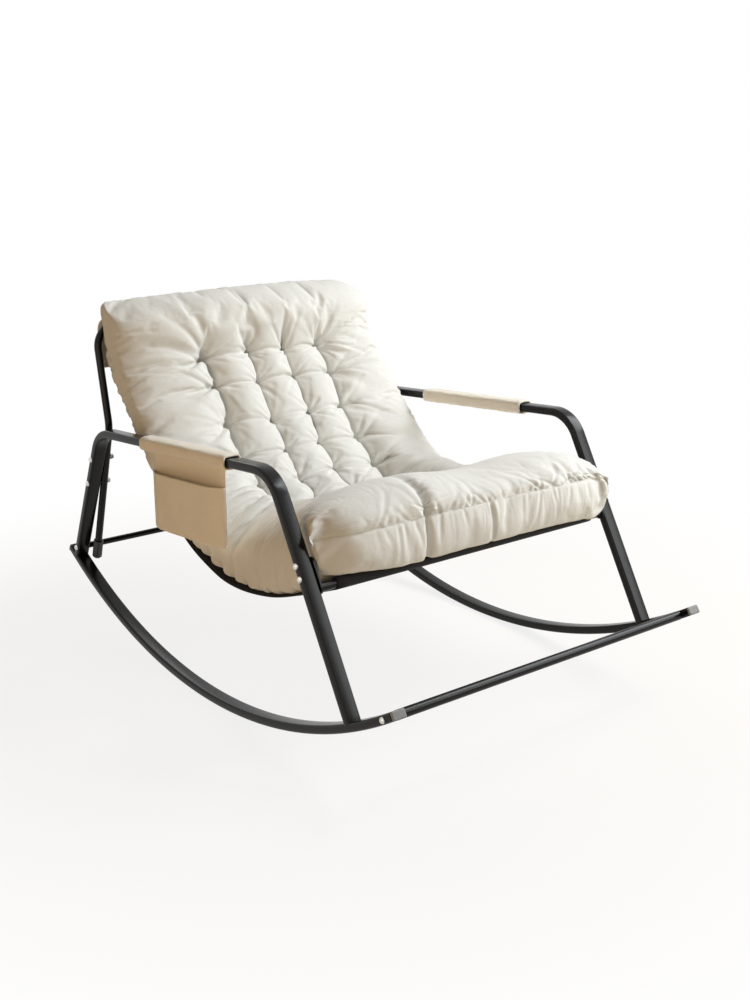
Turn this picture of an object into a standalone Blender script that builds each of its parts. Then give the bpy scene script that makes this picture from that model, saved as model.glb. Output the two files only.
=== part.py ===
"""Low rocking lounge chair: a bolted steel tube frame, a cloth sling and one long tufted pad.

Metres, +Z up. X runs across the chair, the sitter faces -Y, and the sitter's right hand is at -X.
The origin is on the floor, midway between the rockers, where the rockers touch it at rest.
"""
import math

import bmesh
import bpy
from mathutils import Matrix, Vector

# Fits
GAP = 0.0003                   # clearance between pieces that touch

# Flat oval tube of the side frames
FRAME_HALF_WIDTH = 0.330       # middle plane to the middle of a side frame
TUBE_WIDTH = 0.026             # across the chair
TUBE_DEPTH = 0.015             # in the plane of the side frame
TUBE_CORNER = 0.004

# Rockers: one arc, rolled in short straight steps, with a flat that rests on the floor under the weight
ROCKER_RADIUS = 0.990          # underside
ROCKER_STEP = math.radians(3.0)
ROCKER_FLAT_FRONT = 0.024      # the flat reaches this far before and behind the lowest point of the arc
ROCKER_FLAT_REAR = 0.066
ROCKER_FRONT_Y = -0.530
ROCKER_REAR_Y = 0.500
ROCKER_PLUG_LENGTH = 0.005
ROCKER_PLUG_EDGE = 0.0022

# Side hoops: front leg, arm and rear leg bent from one tube
ARM_HEIGHT = 0.441             # middle of the tube above the floor contact
ARM_SLOPE = math.radians(-4.6)     # the arm drops towards the rear
FRONT_LEG_FLOOR_Y = -0.4866    # where the leg's line meets the floor
FRONT_LEG_LEAN = math.radians(29.7)
REAR_LEG_FLOOR_Y = 0.5398
REAR_LEG_LEAN = math.radians(24.4)
ARM_BEND_RADIUS = 0.066
BEND_STEPS = 7

# Round cross tubes
FRONT_TUBE_RADIUS = 0.008
FRONT_TUBE_Y = -0.512
REAR_TUBE_RADIUS = 0.006
REAR_TUBE_UP = 0.016           # along the rear leg, above the rocker's top
SEAT_TUBE_RADIUS = 0.008
SEAT_TUBE_Z = 0.2925
SEAT_PLATE_THICKNESS = 0.003
SEAT_PLATE_WIDTH = 0.020
SEAT_PLATE_BELOW = 0.011       # below the tube's middle, along the leg
SEAT_PLATE_ABOVE = 0.050
SEAT_BOLT_UP = (0.019, 0.040)  # bolts above the tube's middle, along the leg

# Back frame: two kinked posts and a bow that plugs into them
POST_RADIUS = 0.007
POST_KINK_Y = 0.362
POST_KINK_Z = 0.417
POST_LOWER_LEAN = math.radians(-17.2)
POST_UPPER_LEAN = math.radians(10.6)
POST_FOOT_Z = 0.138
POST_TOP_Z = 0.528
POST_KINK_RADIUS = 0.060
POST_BOLT_DROP = (0.110, 0.058)    # below the corner of the arm and the rear leg
BOW_TOP_Z = 0.606
BOW_BEND_RADIUS = 0.045
SPIGOT_RADIUS = 0.0048
SPIGOT_LENGTH = 0.030
SPIGOT_BORE_CLEARANCE = 0.0004
BOW_SCREW_DROP = 0.014         # below the top of the post
CAP_RADIUS = 0.0095
CAP_LENGTH = 0.040
CAP_FLOOR = 0.005
CAP_CHAMFER = 0.003

# Fasteners
BOLT_RADIUS = 0.003
BOLT_HOLE_RADIUS = 0.0034
BOLT_HEAD_RADIUS = 0.0055
BOLT_HEAD_HEIGHT = 0.0036
BOLT_BITE = 0.018              # how far a bolt runs into a cross tube
NUT_RADIUS = 0.0055
NUT_HEIGHT = 0.005
SCREW_RADIUS = 0.0018
SCREW_HOLE_RADIUS = 0.0021
SCREW_HEAD_RADIUS = 0.0034
SCREW_HEAD_HEIGHT = 0.0022
SCREW_BITE = 0.0070

# Sling
CLOTH = 0.0025
SLING_TOP_INSET = 0.009        # inside the bends of the bow
SLING_BACK_INSET = 0.009       # inside the back posts
SLING_FRONT_INSET = 0.033      # inside the front legs
SLING_BACK_Z = 0.525           # where the sling leaves the plane of the bow
SLING_SEAT = (                 # side view of the hanging part, back to front
    (0.304, 0.441), (0.234, 0.358), (0.139, 0.260), (0.040, 0.2155),
    (-0.040, 0.2045), (-0.140, 0.2175), (-0.230, 0.247),
)
HEM_TURN = math.radians(300.0)
HEM_STEPS = 12
SLING_STEPS = 4

# Pad: side views of its underside and of its crown, head to front edge
PAD_UNDER_LIFT = 0.0012        # between the sling and the pad
PAD_ABOVE_BOW = 0.042          # pad's head above the top of the sling
PAD_LIP = 0.019                # pad's front edge before and behind the seat tube
PAD_FACE = (                   # side view of the front face, going up to the front seam
    (-0.346, 0.335), (-0.341, 0.367),
)
PAD_STEPS = 10
PAD_SEAT_INSET = 0.009         # inside the side frames, at the seat's front
PAD_HEAD_INSET = 0.004         # inside the side frames, at the head
PAD_WAIST = 0.006              # sides drawn in between the ends
PAD_SEAM_HEIGHT = 0.36         # share of the thickness where the two covers are sewn together
PAD_FRONT_SEAM_HEIGHT = 0.62   # the same at the front, where the seam runs high
PAD_SEAM_RISE = (0.780, 0.940) # along the pad, where the seam climbs from one height to the other
PAD_HEAD_ROUND = 0.085         # length over which the head swells from its end seam
PAD_HEAD_CORNERS = {"right": 0.030, "left": 0.085}     # the left corner of the head is worn rounder
PAD_HEAD_SLIM = 0.034          # how much slimmer the left side of the head is
PAD_HEAD_SLIM_REACH = 0.26     # along the pad
PAD_EDGE_POWER = 2.5           # how flat the pad stays towards its sides
PAD_EDGE_ROUND = 0.42          # how round it then drops to the seam
PAD_REST = 1.42                # how much of the underside rests on the sling
PAD_PLUMP = 0.004              # how much the stuffing lifts the cover over its crown line
PAD_SIDE_ROLL = 0.058          # how much higher the side rolls stand beside the seat
PAD_SIDE_ROLL_MIDDLE = 0.605   # along the pad
PAD_SIDE_ROLL_REACH = 0.140
PAD_SIDE_ROLL_RISE = 0.060     # across the pad, from the outer tufts
PAD_FRONT_FLARE = 0.032        # how far the right end of the front roll swells out before the leg
PAD_FLARE_START = 0.100        # along the pad, from its front edge
PAD_FLARE_LENGTH = 0.050
PAD_CROWN = (
    (0.352, 0.664), (0.276, 0.634), (0.268, 0.566), (0.231, 0.500), (0.166, 0.415),
    (0.094, 0.342), (0.018, 0.318), (-0.045, 0.320), (-0.130, 0.362), (-0.225, 0.408),
    (-0.290, 0.411), (-0.330, 0.399), (-0.343, 0.383), (-0.341, 0.367),
)
TUFT_COLUMNS = (-0.135, -0.045, 0.045, 0.135)
TUFT_FIRST = 0.146             # along the pad from its head
TUFT_PITCH = 0.080
TUFT_ROWS = 7
TUFT_DEPTH = 0.008             # deeper than the folds that meet in a tuft
TUFT_SPREAD = 0.011
VALLEY_DEPTH = 0.030           # valleys from tuft to tuft along the pad
VALLEY_OUTER_SIDE = 0.060      # how wide the side rolls round down to the outer valleys
VALLEY_FADE = 0.034
FOLD_DEPTH = 0.013             # folds from tuft to tuft across the pad
FOLD_OUTER_SIDE = 0.055
FOLD_FADE = 0.016
FOLD_NEAR_TUFT = 0.022
FIELD_DROP = 0.006             # the tufted field lies lower than the rolls round it
FIELD_FADE = 0.040

# Hood of the pad, pulled down over the bow
HOOD_INSET = 0.003             # inside the back posts
HOOD_TOP_INSET = {"right": 0.035, "left": 0.075}       # where the hood is sewn to the head of the pad
HOOD_HEM_Z = 0.525
HOOD_SLACK = 0.0006
HOOD_SEAM_SHARE = 0.30         # down the pad's head, between its end and the bow

# Arm sleeves and the pocket under the right one
SLEEVE_LENGTH = 0.282
SLEEVE_MIDDLE_Y = 0.034
SLEEVE_PADDING = 0.0055
SLEEVE_SLACK = 0.0005
SLEEVE_CORNER = 0.009
POCKET_LENGTH = 0.236
POCKET_BOTTOM_Z = 0.288
POCKET_MOUTH_Z = 0.392
POCKET_DEPTH = 0.018
POCKET_CLOTH = 0.0028

STEEL_BLACK = ("powder_coat_black", (0.012, 0.011, 0.010, 1.0), 0.38, 0.0)
ZINC = ("zinc_plate", (0.62, 0.61, 0.58, 1.0), 0.32, 1.0)
PLASTIC_BLACK = ("plastic_black", (0.02, 0.02, 0.02, 1.0), 0.55, 0.0)
PLASTIC_GREY = ("plastic_grey", (0.22, 0.22, 0.22, 1.0), 0.5, 0.0)
SLING_CLOTH = ("sling_cloth", (0.015, 0.014, 0.013, 1.0), 0.9, 0.0)
PAD_CLOTH = ("pad_cotton", (0.78, 0.755, 0.70, 1.0), 0.85, 0.0)
SLEEVE_CLOTH = ("sleeve_cotton", (0.74, 0.69, 0.60, 1.0), 0.85, 0.0)

SIDES = (("right", -1), ("left", 1))
OUTER_X = FRAME_HALF_WIDTH + TUBE_WIDTH / 2
INNER_X = FRAME_HALF_WIDTH - TUBE_WIDTH / 2
POST_X = INNER_X - GAP - POST_RADIUS
SLING_TOP_HALF = POST_X - BOW_BEND_RADIUS - SLING_TOP_INSET
SLING_BACK_HALF = POST_X - POST_RADIUS - SLING_BACK_INSET
SLING_FRONT_HALF = INNER_X - SLING_FRONT_INSET
PAD_HALF_WIDTH = INNER_X - PAD_SEAT_INSET
PAD_HEAD_HALF_WIDTH = INNER_X - PAD_HEAD_INSET
HOOD_HALF_WIDTH = POST_X - POST_RADIUS - HOOD_INSET


# Scene helpers

def clear_scene():
    for item in list(bpy.data.objects):
        bpy.data.objects.remove(item, do_unlink=True)


def new_collection(name):
    collection = bpy.data.collections.new(name)
    bpy.context.scene.collection.children.link(collection)
    return collection


def material_for(look):
    name, colour, roughness, metallic = look
    found = bpy.data.materials.get(name)
    if found:
        return found
    made = bpy.data.materials.new(name)
    made.use_nodes = True
    shader = made.node_tree.nodes["Principled BSDF"]
    shader.inputs["Base Color"].default_value = colour
    shader.inputs["Roughness"].default_value = roughness
    shader.inputs["Metallic"].default_value = metallic
    made.diffuse_color = colour
    return made


def add_part(name, mesh, look, smooth_angle=35.0):
    part = bpy.data.objects.new(name, mesh)
    mesh.materials.clear()
    mesh.materials.append(material_for(look))
    mesh.shade_smooth()
    mesh.set_sharp_from_angle(angle=math.radians(smooth_angle))
    PARTS.objects.link(part)
    return part


def add_cutter(name, mesh):
    cutter = bpy.data.objects.new(name, mesh)
    cutter.hide_render = True
    cutter.display_type = "WIRE"
    CUTTERS.objects.link(cutter)
    return cutter


def cut(part, cutter):
    modifier = part.modifiers.new("cut", "BOOLEAN")
    modifier.operation = "DIFFERENCE"
    modifier.solver = "EXACT"
    modifier.object = cutter


def finished_mesh(bm, name):
    bmesh.ops.recalc_face_normals(bm, faces=bm.faces)
    mesh = bpy.data.meshes.new(name)
    bm.to_mesh(mesh)
    bm.free()
    return mesh


def side_point(x, side_view):
    return Vector((x, side_view[0], side_view[1]))


# Path helpers, all in the side view (y, z) unless they say otherwise

def rounded_path(points, radius, steps):
    """A run of straight lines whose inner corners become arcs."""
    points = [Vector(p) for p in points]
    path = [points[0]]
    for before, corner, after in zip(points, points[1:], points[2:]):
        to_before = (before - corner).normalized()
        to_after = (after - corner).normalized()
        half = to_before.angle(to_after) / 2
        start = corner + to_before * (radius / math.tan(half))
        middle = corner + (to_before + to_after).normalized() * (radius / math.sin(half))
        spoke = start - middle
        across = -to_before
        turn = math.pi - 2 * half
        for k in range(steps + 1):
            angle = turn * k / steps
            path.append(middle + spoke * math.cos(angle) + across * radius * math.sin(angle))
    path.append(points[-1])
    return path


def smooth_through(points, steps):
    """A soft curve that passes through each point."""
    points = [Vector(p) for p in points]
    ends = [2 * points[0] - points[1]] + points + [2 * points[-1] - points[-2]]
    path = []
    for a, b, c, d in zip(ends, ends[1:], ends[2:], ends[3:]):
        for k in range(steps):
            t = k / steps
            path.append(0.5 * (2 * b + (c - a) * t + (2 * a - 5 * b + 4 * c - d) * t ** 2
                               + (3 * b - a - 3 * c + d) * t ** 3))
    path.append(points[-1])
    return path


def arc_points(middle, radius, start, turn, steps):
    return [Vector((middle[0] + radius * math.cos(start + turn * k / steps),
                    middle[1] + radius * math.sin(start + turn * k / steps))) for k in range(steps + 1)]


def front_leg_y(z):
    return FRONT_LEG_FLOOR_Y + z * math.tan(FRONT_LEG_LEAN)


def rear_leg_y(z):
    return REAR_LEG_FLOOR_Y - z * math.tan(REAR_LEG_LEAN)


def arm_z(y):
    return ARM_HEIGHT + y * math.tan(ARM_SLOPE)


def post_y(z):
    lean = POST_UPPER_LEAN if z > POST_KINK_Z else POST_LOWER_LEAN
    return POST_KINK_Y + (z - POST_KINK_Z) * math.tan(lean)


def arm_corner(floor_y, lean):
    """Where a leg's line meets the arm's line; lean is positive towards the rear going up."""
    slope = math.tan(ARM_SLOPE)
    z = (ARM_HEIGHT + floor_y * slope) / (1 - math.tan(lean) * slope)
    return Vector((floor_y + z * math.tan(lean), z))


def rocker_middle(y):
    """Height of the middle of the rocker tube."""
    radius = ROCKER_RADIUS - TUBE_DEPTH / 2
    return ROCKER_RADIUS - math.sqrt(radius ** 2 - y ** 2)


def rocker_angle(y):
    return math.asin(y / (ROCKER_RADIUS - TUBE_DEPTH / 2))


# Shape helpers

def outline_curve(name, outlines):
    """A flat 2D curve from closed outlines; an outline inside another is a hole."""
    curve = bpy.data.curves.new(name, "CURVE")
    curve.dimensions = "2D"
    for outline in outlines:
        spline = curve.splines.new("POLY")
        spline.points.add(len(outline) - 1)
        for point, place in zip(spline.points, outline):
            point.co = (place[0], place[1], 0.0, 1.0)
        spline.use_cyclic_u = True
    return curve


def rounded_rectangle(width, height, corner, steps):
    outline = []
    for quarter, (sx, sy) in enumerate(((1, 1), (-1, 1), (-1, -1), (1, -1))):
        middle = (sx * (width / 2 - corner), sy * (height / 2 - corner))
        outline += arc_points(middle, corner, quarter * math.pi / 2, math.pi / 2, steps)
    return outline


def curve_to_mesh(curve, name):
    """The curve's evaluated surface as a welded mesh; the curve object is removed."""
    holder = bpy.data.objects.new(name + "_curve", curve)
    bpy.context.scene.collection.objects.link(holder)
    bpy.context.view_layer.update()
    graph = bpy.context.evaluated_depsgraph_get()
    mesh = bpy.data.meshes.new_from_object(holder.evaluated_get(graph))
    bpy.data.objects.remove(holder, do_unlink=True)
    bm = bmesh.new()
    bm.from_mesh(mesh)
    bmesh.ops.remove_doubles(bm, verts=bm.verts, dist=1e-6)
    bpy.data.meshes.remove(mesh)
    return finished_mesh(bm, name)


def path_curve(name, path, radii=None):
    curve = bpy.data.curves.new(name, "CURVE")
    curve.dimensions = "3D"
    curve.use_fill_caps = True
    spline = curve.splines.new("POLY")
    spline.points.add(len(path) - 1)
    for k, (point, place) in enumerate(zip(spline.points, path)):
        point.co = (*place, 1.0)
        point.radius = radii[k] if radii else 1.0
    return curve


def round_tube(name, path, radius, radii=None, sides=4):
    """A round tube along 3D points; radii are shares of the tube's radius at each point."""
    curve = path_curve(name, path, radii)
    curve.bevel_depth = radius
    curve.bevel_resolution = sides
    return curve_to_mesh(curve, name)


def bar_along(name, path, outline):
    """A bar of one cross section along 3D points; the outline's first axis lies across the chair."""
    section = bpy.data.objects.new(name + "_section", outline_curve(name + "_outline", [outline]))
    section.data.fill_mode = "NONE"
    bpy.context.scene.collection.objects.link(section)
    curve = path_curve(name, path)
    curve.bevel_mode = "OBJECT"
    curve.bevel_object = section
    mesh = curve_to_mesh(curve, name)
    bpy.data.objects.remove(section, do_unlink=True)
    return mesh


def flat_plate(name, outlines, thickness):
    curve = outline_curve(name, outlines)
    curve.fill_mode = "BOTH"
    curve.extrude = thickness / 2
    return curve_to_mesh(curve, name)


def turned(name, profile, steps=12):
    """A turned piece about Z; the profile runs from the top of the axis down its outer side."""
    bm = bmesh.new()
    corners = [bm.verts.new((r, 0.0, z)) for r, z in profile]
    for a, b in zip(corners, corners[1:]):
        bm.edges.new((a, b))
    mesh = bpy.data.meshes.new(name)
    bm.to_mesh(mesh)
    bm.free()
    holder = bpy.data.objects.new(name + "_profile", mesh)
    bpy.context.scene.collection.objects.link(holder)
    screw = holder.modifiers.new("turn", "SCREW")
    screw.steps = steps
    screw.render_steps = steps
    screw.use_merge_vertices = True
    screw.merge_threshold = 0.00001
    bpy.context.view_layer.update()
    graph = bpy.context.evaluated_depsgraph_get()
    made = bpy.data.meshes.new_from_object(holder.evaluated_get(graph))
    bpy.data.objects.remove(holder, do_unlink=True)
    bm = bmesh.new()
    bm.from_mesh(made)
    bmesh.ops.remove_doubles(bm, verts=bm.verts, dist=1e-6)
    return finished_mesh(bm, name)


def facing(place, direction):
    """A matrix that turns +Z to a direction and moves the origin to a place."""
    turn = Vector((0, 0, 1)).rotation_difference(Vector(direction)).to_matrix().to_4x4()
    return Matrix.Translation(place) @ turn


def drill(name, radius, length, places, sides=12):
    """A cutter made of straight drills; each starts at its place and runs along its own +Z."""
    bm = bmesh.new()
    for place in places:
        bmesh.ops.create_cone(bm, cap_ends=True, segments=sides, radius1=radius, radius2=radius, depth=length,
                              matrix=place @ Matrix.Translation((0, 0, length / 2)))
    return add_cutter(name, finished_mesh(bm, name))


def trim(mesh, point, normal):
    """Cut a mesh off flat; the side that the normal points to is removed."""
    bm = bmesh.new()
    bm.from_mesh(mesh)
    result = bmesh.ops.bisect_plane(bm, geom=bm.verts[:] + bm.edges[:] + bm.faces[:], dist=1e-7,
                                    plane_co=point, plane_no=normal, clear_outer=True)
    rim = [item for item in result["geom_cut"] if isinstance(item, bmesh.types.BMEdge)]
    bmesh.ops.edgeloop_fill(bm, edges=rim)
    bmesh.ops.recalc_face_normals(bm, faces=bm.faces)
    bm.to_mesh(mesh)
    bm.free()


# Shared places

def flat_tube_outline():
    return rounded_rectangle(TUBE_WIDTH, TUBE_DEPTH, TUBE_CORNER, 2)


def front_bolt_point():
    return Vector((FRONT_TUBE_Y, rocker_middle(FRONT_TUBE_Y)))


def rear_bolt_point():
    foot = Vector((REAR_LEG_FLOOR_Y, 0))
    corner = arm_corner(REAR_LEG_FLOOR_Y, -REAR_LEG_LEAN)
    return foot_on_rocker(foot, corner) + (corner - foot).normalized() * REAR_TUBE_UP


def seat_tube_point():
    return Vector((front_leg_y(SEAT_TUBE_Z), SEAT_TUBE_Z))


def front_leg_direction():
    return Vector((math.sin(FRONT_LEG_LEAN), math.cos(FRONT_LEG_LEAN)))


def seat_bolt_points():
    return [seat_tube_point() + front_leg_direction() * up for up in SEAT_BOLT_UP]


def post_bolt_points():
    """Each bolt stands midway between the middle lines of the leg and the post."""
    corner_z = arm_corner(REAR_LEG_FLOOR_Y, -REAR_LEG_LEAN)[1]
    heights = [corner_z - drop for drop in POST_BOLT_DROP]
    return [Vector(((post_y(z) + rear_leg_y(z)) / 2, z)) for z in heights]


def bow_screw_frame():
    """Where a screw's head seats on the rear of a post, at x = 0, and its outward direction."""
    z = POST_TOP_Z - BOW_SCREW_DROP
    outward = Vector((0, math.cos(POST_UPPER_LEAN), -math.sin(POST_UPPER_LEAN)))
    return Vector((0, post_y(z), z)) + outward * (POST_RADIUS + GAP), outward


def bow_screw_drill(sign):
    """The hole of a screw starts just past its tip and runs outwards."""
    seat, outward = bow_screw_frame()
    return facing(Vector((sign * POST_X, 0, 0)) + seat - outward * (SCREW_BITE + 2 * GAP), outward)


# Steel pieces

def rocker_path():
    """Side view of the rocker's middle line: straight steps that each touch the arc from outside."""
    radius = ROCKER_RADIUS - TUBE_DEPTH / 2
    start, end = rocker_angle(ROCKER_FRONT_Y), rocker_angle(ROCKER_REAR_Y)
    touches = [0.0]
    while touches[0] > start:
        first = 2 * math.atan(ROCKER_FLAT_FRONT / ROCKER_RADIUS)
        touches.insert(0, touches[0] - ROCKER_STEP if touches[0] else -first)
    while touches[-1] < end:
        first = 2 * math.atan(ROCKER_FLAT_REAR / ROCKER_RADIUS)
        touches.append(touches[-1] + ROCKER_STEP if touches[-1] else first)
    corners = []
    for before, after in zip(touches, touches[1:]):
        angle = (before + after) / 2
        if start + ROCKER_STEP / 6 < angle < end - ROCKER_STEP / 6:
            corners.append((angle, before))
    stations = [(start, corners[0][1])] + corners
    last = touches[[round(t, 9) for t in touches].index(round(corners[-1][1], 9)) + 1]
    stations.append((end, last))
    path = []
    for angle, touch in stations:
        reach = radius / math.cos(angle - touch)
        path.append(Vector((reach * math.sin(angle), ROCKER_RADIUS - reach * math.cos(angle))))
    return path


def make_rockers():
    side_path = rocker_path()
    for side, sign in SIDES:
        path = [side_point(sign * FRAME_HALF_WIDTH, p) for p in side_path]
        mesh = bar_along(f"rocker_{side}", path, flat_tube_outline())
        rocker = add_part(f"rocker_{side}", mesh, STEEL_BLACK)
        place = facing(side_point(sign * (OUTER_X + TUBE_WIDTH), front_bolt_point()), (-sign, 0, 0))
        cut(rocker, drill(f"rocker_hole_{side}", BOLT_HOLE_RADIUS, TUBE_WIDTH * 3, [place]))
        for end_name, at, heading in (("front", 0, 1), ("rear", -1, -1)):
            outward = (path[at] - path[at + heading]).normalized()
            make_rocker_plug(f"rocker_{end_name}_plug_{side}", path[at], outward)


def make_rocker_plug(name, tip, outward):
    bm = bmesh.new()
    size = Matrix.Diagonal((TUBE_WIDTH, TUBE_DEPTH, ROCKER_PLUG_LENGTH, 1))
    bmesh.ops.create_cube(bm, size=1.0, matrix=size)
    bmesh.ops.bevel(bm, geom=bm.edges[:], offset=ROCKER_PLUG_EDGE, segments=2, profile=0.5, affect="EDGES")
    middle = tip + outward * (GAP + ROCKER_PLUG_LENGTH / 2)
    bm.transform(facing(middle, outward))
    add_part(name, finished_mesh(bm, name), PLASTIC_GREY)


def make_hoops():
    front_corner = arm_corner(FRONT_LEG_FLOOR_Y, FRONT_LEG_LEAN)
    rear_corner = arm_corner(REAR_LEG_FLOOR_Y, -REAR_LEG_LEAN)
    ends = [Vector((FRONT_LEG_FLOOR_Y, 0)), Vector((REAR_LEG_FLOOR_Y, 0))]
    side_path = rounded_path([ends[0], front_corner, rear_corner, ends[1]], ARM_BEND_RADIUS, BEND_STEPS)
    hub = Vector((0, ROCKER_RADIUS))
    foot_radius = ROCKER_RADIUS - TUBE_DEPTH - 1.2 * GAP
    for side, sign in SIDES:
        path = [side_point(sign * FRAME_HALF_WIDTH, p) for p in side_path]
        mesh = bar_along(f"hoop_{side}", path, flat_tube_outline())
        for foot, corner in ((ends[0], front_corner), (ends[1], rear_corner)):
            spoke = (foot_on_rocker(foot, corner) - hub).normalized()
            trim(mesh, side_point(0, hub + spoke * foot_radius), side_point(0, spoke))
        hoop = add_part(f"hoop_{side}", mesh, STEEL_BLACK)
        points = [rear_bolt_point()] + seat_bolt_points() + post_bolt_points()
        places = [facing(side_point(sign * (OUTER_X + TUBE_WIDTH), p), (-sign, 0, 0)) for p in points]
        cut(hoop, drill(f"hoop_holes_{side}", BOLT_HOLE_RADIUS, TUBE_WIDTH * 3, places))


def foot_on_rocker(foot, corner):
    """Where a leg's middle line crosses the rocker's top."""
    hub = Vector((0, ROCKER_RADIUS))
    along = (foot - corner).normalized()
    start = corner - hub
    reach = start.dot(along)
    radius = ROCKER_RADIUS - TUBE_DEPTH
    travel = -reach + math.sqrt(reach ** 2 - start.length_squared + radius ** 2)
    return corner + along * travel


def make_cross_tube(name, point, radius, half_length):
    path = [(-half_length, point[0], point[1]), (half_length, point[0], point[1])]
    tube = add_part(name, round_tube(name, path, radius), STEEL_BLACK)
    return tube


def make_cross_tubes():
    half = INNER_X - GAP
    for name, point, radius in (("front_cross_tube", front_bolt_point(), FRONT_TUBE_RADIUS),
                                ("rear_cross_tube", rear_bolt_point(), REAR_TUBE_RADIUS)):
        tube = make_cross_tube(name, point, radius, half)
        places = [facing(side_point(sign * (half + BOLT_BITE), point), (-sign, 0, 0)) for _, sign in SIDES]
        cut(tube, drill(name + "_holes", BOLT_HOLE_RADIUS, 2 * BOLT_BITE + GAP, places))
    make_cross_tube("seat_front_tube", seat_tube_point(), SEAT_TUBE_RADIUS,
                    half - SEAT_PLATE_THICKNESS - GAP)


def make_seat_plates():
    """Flat tabs on the ends of the seat tube, bolted to the inner faces of the front legs."""
    along = front_leg_direction()
    middle = seat_tube_point() + along * (SEAT_PLATE_ABOVE - SEAT_PLATE_BELOW) / 2
    length = SEAT_PLATE_ABOVE + SEAT_PLATE_BELOW
    outline = rounded_rectangle(SEAT_PLATE_WIDTH, length, SEAT_PLATE_WIDTH * 0.45, 3)
    for side, sign in SIDES:
        x = sign * (INNER_X - GAP - SEAT_PLATE_THICKNESS / 2)
        mesh = flat_plate(f"seat_tube_plate_{side}", [outline], SEAT_PLATE_THICKNESS)
        turn = Matrix(((0, 0, 1, 0), (-along[1], along[0], 0, 0), (along[0], along[1], 0, 0), (0, 0, 0, 1)))
        mesh.transform(Matrix.Translation(side_point(x, middle)) @ turn)
        plate = add_part(f"seat_tube_plate_{side}", mesh, STEEL_BLACK)
        places = [facing(side_point(x + sign * BOLT_BITE, p), (-sign, 0, 0)) for p in seat_bolt_points()]
        cut(plate, drill(f"seat_plate_holes_{side}", BOLT_HOLE_RADIUS, 2 * BOLT_BITE, places))


def make_back_frame():
    top = Vector((post_y(POST_TOP_Z), POST_TOP_Z))
    foot = Vector((post_y(POST_FOOT_Z), POST_FOOT_Z))
    kink = Vector((POST_KINK_Y, POST_KINK_Z))
    side_path = rounded_path([foot, kink, top], POST_KINK_RADIUS, 5)
    up = Vector((0, math.sin(POST_UPPER_LEAN), math.cos(POST_UPPER_LEAN)))
    for side, sign in SIDES:
        across = Vector((sign * POST_X, 0, 0))
        mesh = round_tube(f"back_post_{side}", [side_point(sign * POST_X, p) for p in side_path], POST_RADIUS)
        post = add_part(f"back_post_{side}", mesh, STEEL_BLACK)
        places = [facing(side_point(sign * INNER_X, p), (-sign, 0, 0)) for p in post_bolt_points()]
        cut(post, drill(f"post_holes_{side}", BOLT_HOLE_RADIUS, POST_RADIUS * 3, places))
        bore_depth = SPIGOT_LENGTH + 4 * GAP
        bore = facing(across + side_point(0, top) - up * bore_depth, up)
        cut(post, drill(f"post_bore_{side}", SPIGOT_RADIUS + SPIGOT_BORE_CLEARANCE, bore_depth * 2, [bore]))
        screw_hole = bow_screw_drill(sign)
        cut(post, drill(f"post_screw_hole_{side}", SCREW_HOLE_RADIUS, POST_RADIUS * 2, [screw_hole], sides=8))
        make_post_cap(f"back_post_cap_{side}", across + side_point(0, foot), foot, kink)
    make_bow(top, up)


def make_bow(top, up):
    """The back's top bow; its necked ends plug into the posts."""
    shoulder = side_point(POST_X, top) + up * GAP
    neck = shoulder - up * SPIGOT_LENGTH
    corner = side_point(POST_X, (post_y(BOW_TOP_Z), BOW_TOP_Z))
    right = Vector((-1, 1, 1))
    bend = rounded_path([shoulder, corner, corner * right, shoulder * right], BOW_BEND_RADIUS, 6)
    step = up * 0.00005
    path = [neck, shoulder - step] + bend + [(shoulder - step) * right, neck * right]
    share = SPIGOT_RADIUS / POST_RADIUS
    radii = [share, share] + [1.0] * len(bend) + [share, share]
    bow = add_part("back_top_bow", round_tube("back_top_bow", path, POST_RADIUS, radii), STEEL_BLACK)
    places = [bow_screw_drill(sign) for _, sign in SIDES]
    cut(bow, drill("bow_screw_holes", SCREW_HOLE_RADIUS, POST_RADIUS * 2, places, sides=8))


def make_post_cap(name, foot_place, foot, kink):
    """A plastic cup pushed over the foot of a back post."""
    inner = POST_RADIUS + GAP
    top = CAP_LENGTH - CAP_FLOOR
    profile = [(0, 0), (inner, 0), (inner, top), (CAP_RADIUS, top), (CAP_RADIUS, CAP_CHAMFER - CAP_FLOOR),
               (CAP_RADIUS - CAP_CHAMFER, -CAP_FLOOR), (0, -CAP_FLOOR)]
    mesh = turned(name, profile, steps=14)
    direction = side_point(0, (kink - foot).normalized())
    mesh.transform(facing(foot_place - direction * GAP, direction))
    add_part(name, mesh, PLASTIC_BLACK)


# Fasteners

def bolt_mesh(name, grip):
    """A round-headed bolt whose head seats on z = 0 and whose shank runs down."""
    rim = BOLT_HEAD_RADIUS
    profile = [(0, BOLT_HEAD_HEIGHT), (rim * 0.55, BOLT_HEAD_HEIGHT * 0.92),
               (rim * 0.9, BOLT_HEAD_HEIGHT * 0.55),
               (rim, BOLT_HEAD_HEIGHT * 0.15), (rim, 0), (BOLT_RADIUS, 0), (BOLT_RADIUS, -grip), (0, -grip)]
    return turned(name, profile, steps=10)


def add_fasteners(stem, mesh, look, spots):
    """One object for each place, all sharing one mesh; spots pair a name's ending with a place."""
    for ending, place in spots:
        add_part(f"{stem}_{ending}", mesh, look).matrix_world = place


def side_spots(points, x, outward):
    """Places on both sides of the chair at the same side-view points, facing outwards or inwards."""
    levels = ("",) if len(points) == 1 else ("_lower", "_upper")
    spots = []
    for side, sign in SIDES:
        for level, point in zip(levels, points):
            spots.append((side + level, facing(side_point(sign * x, point), (sign * outward, 0, 0))))
    return spots


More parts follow.
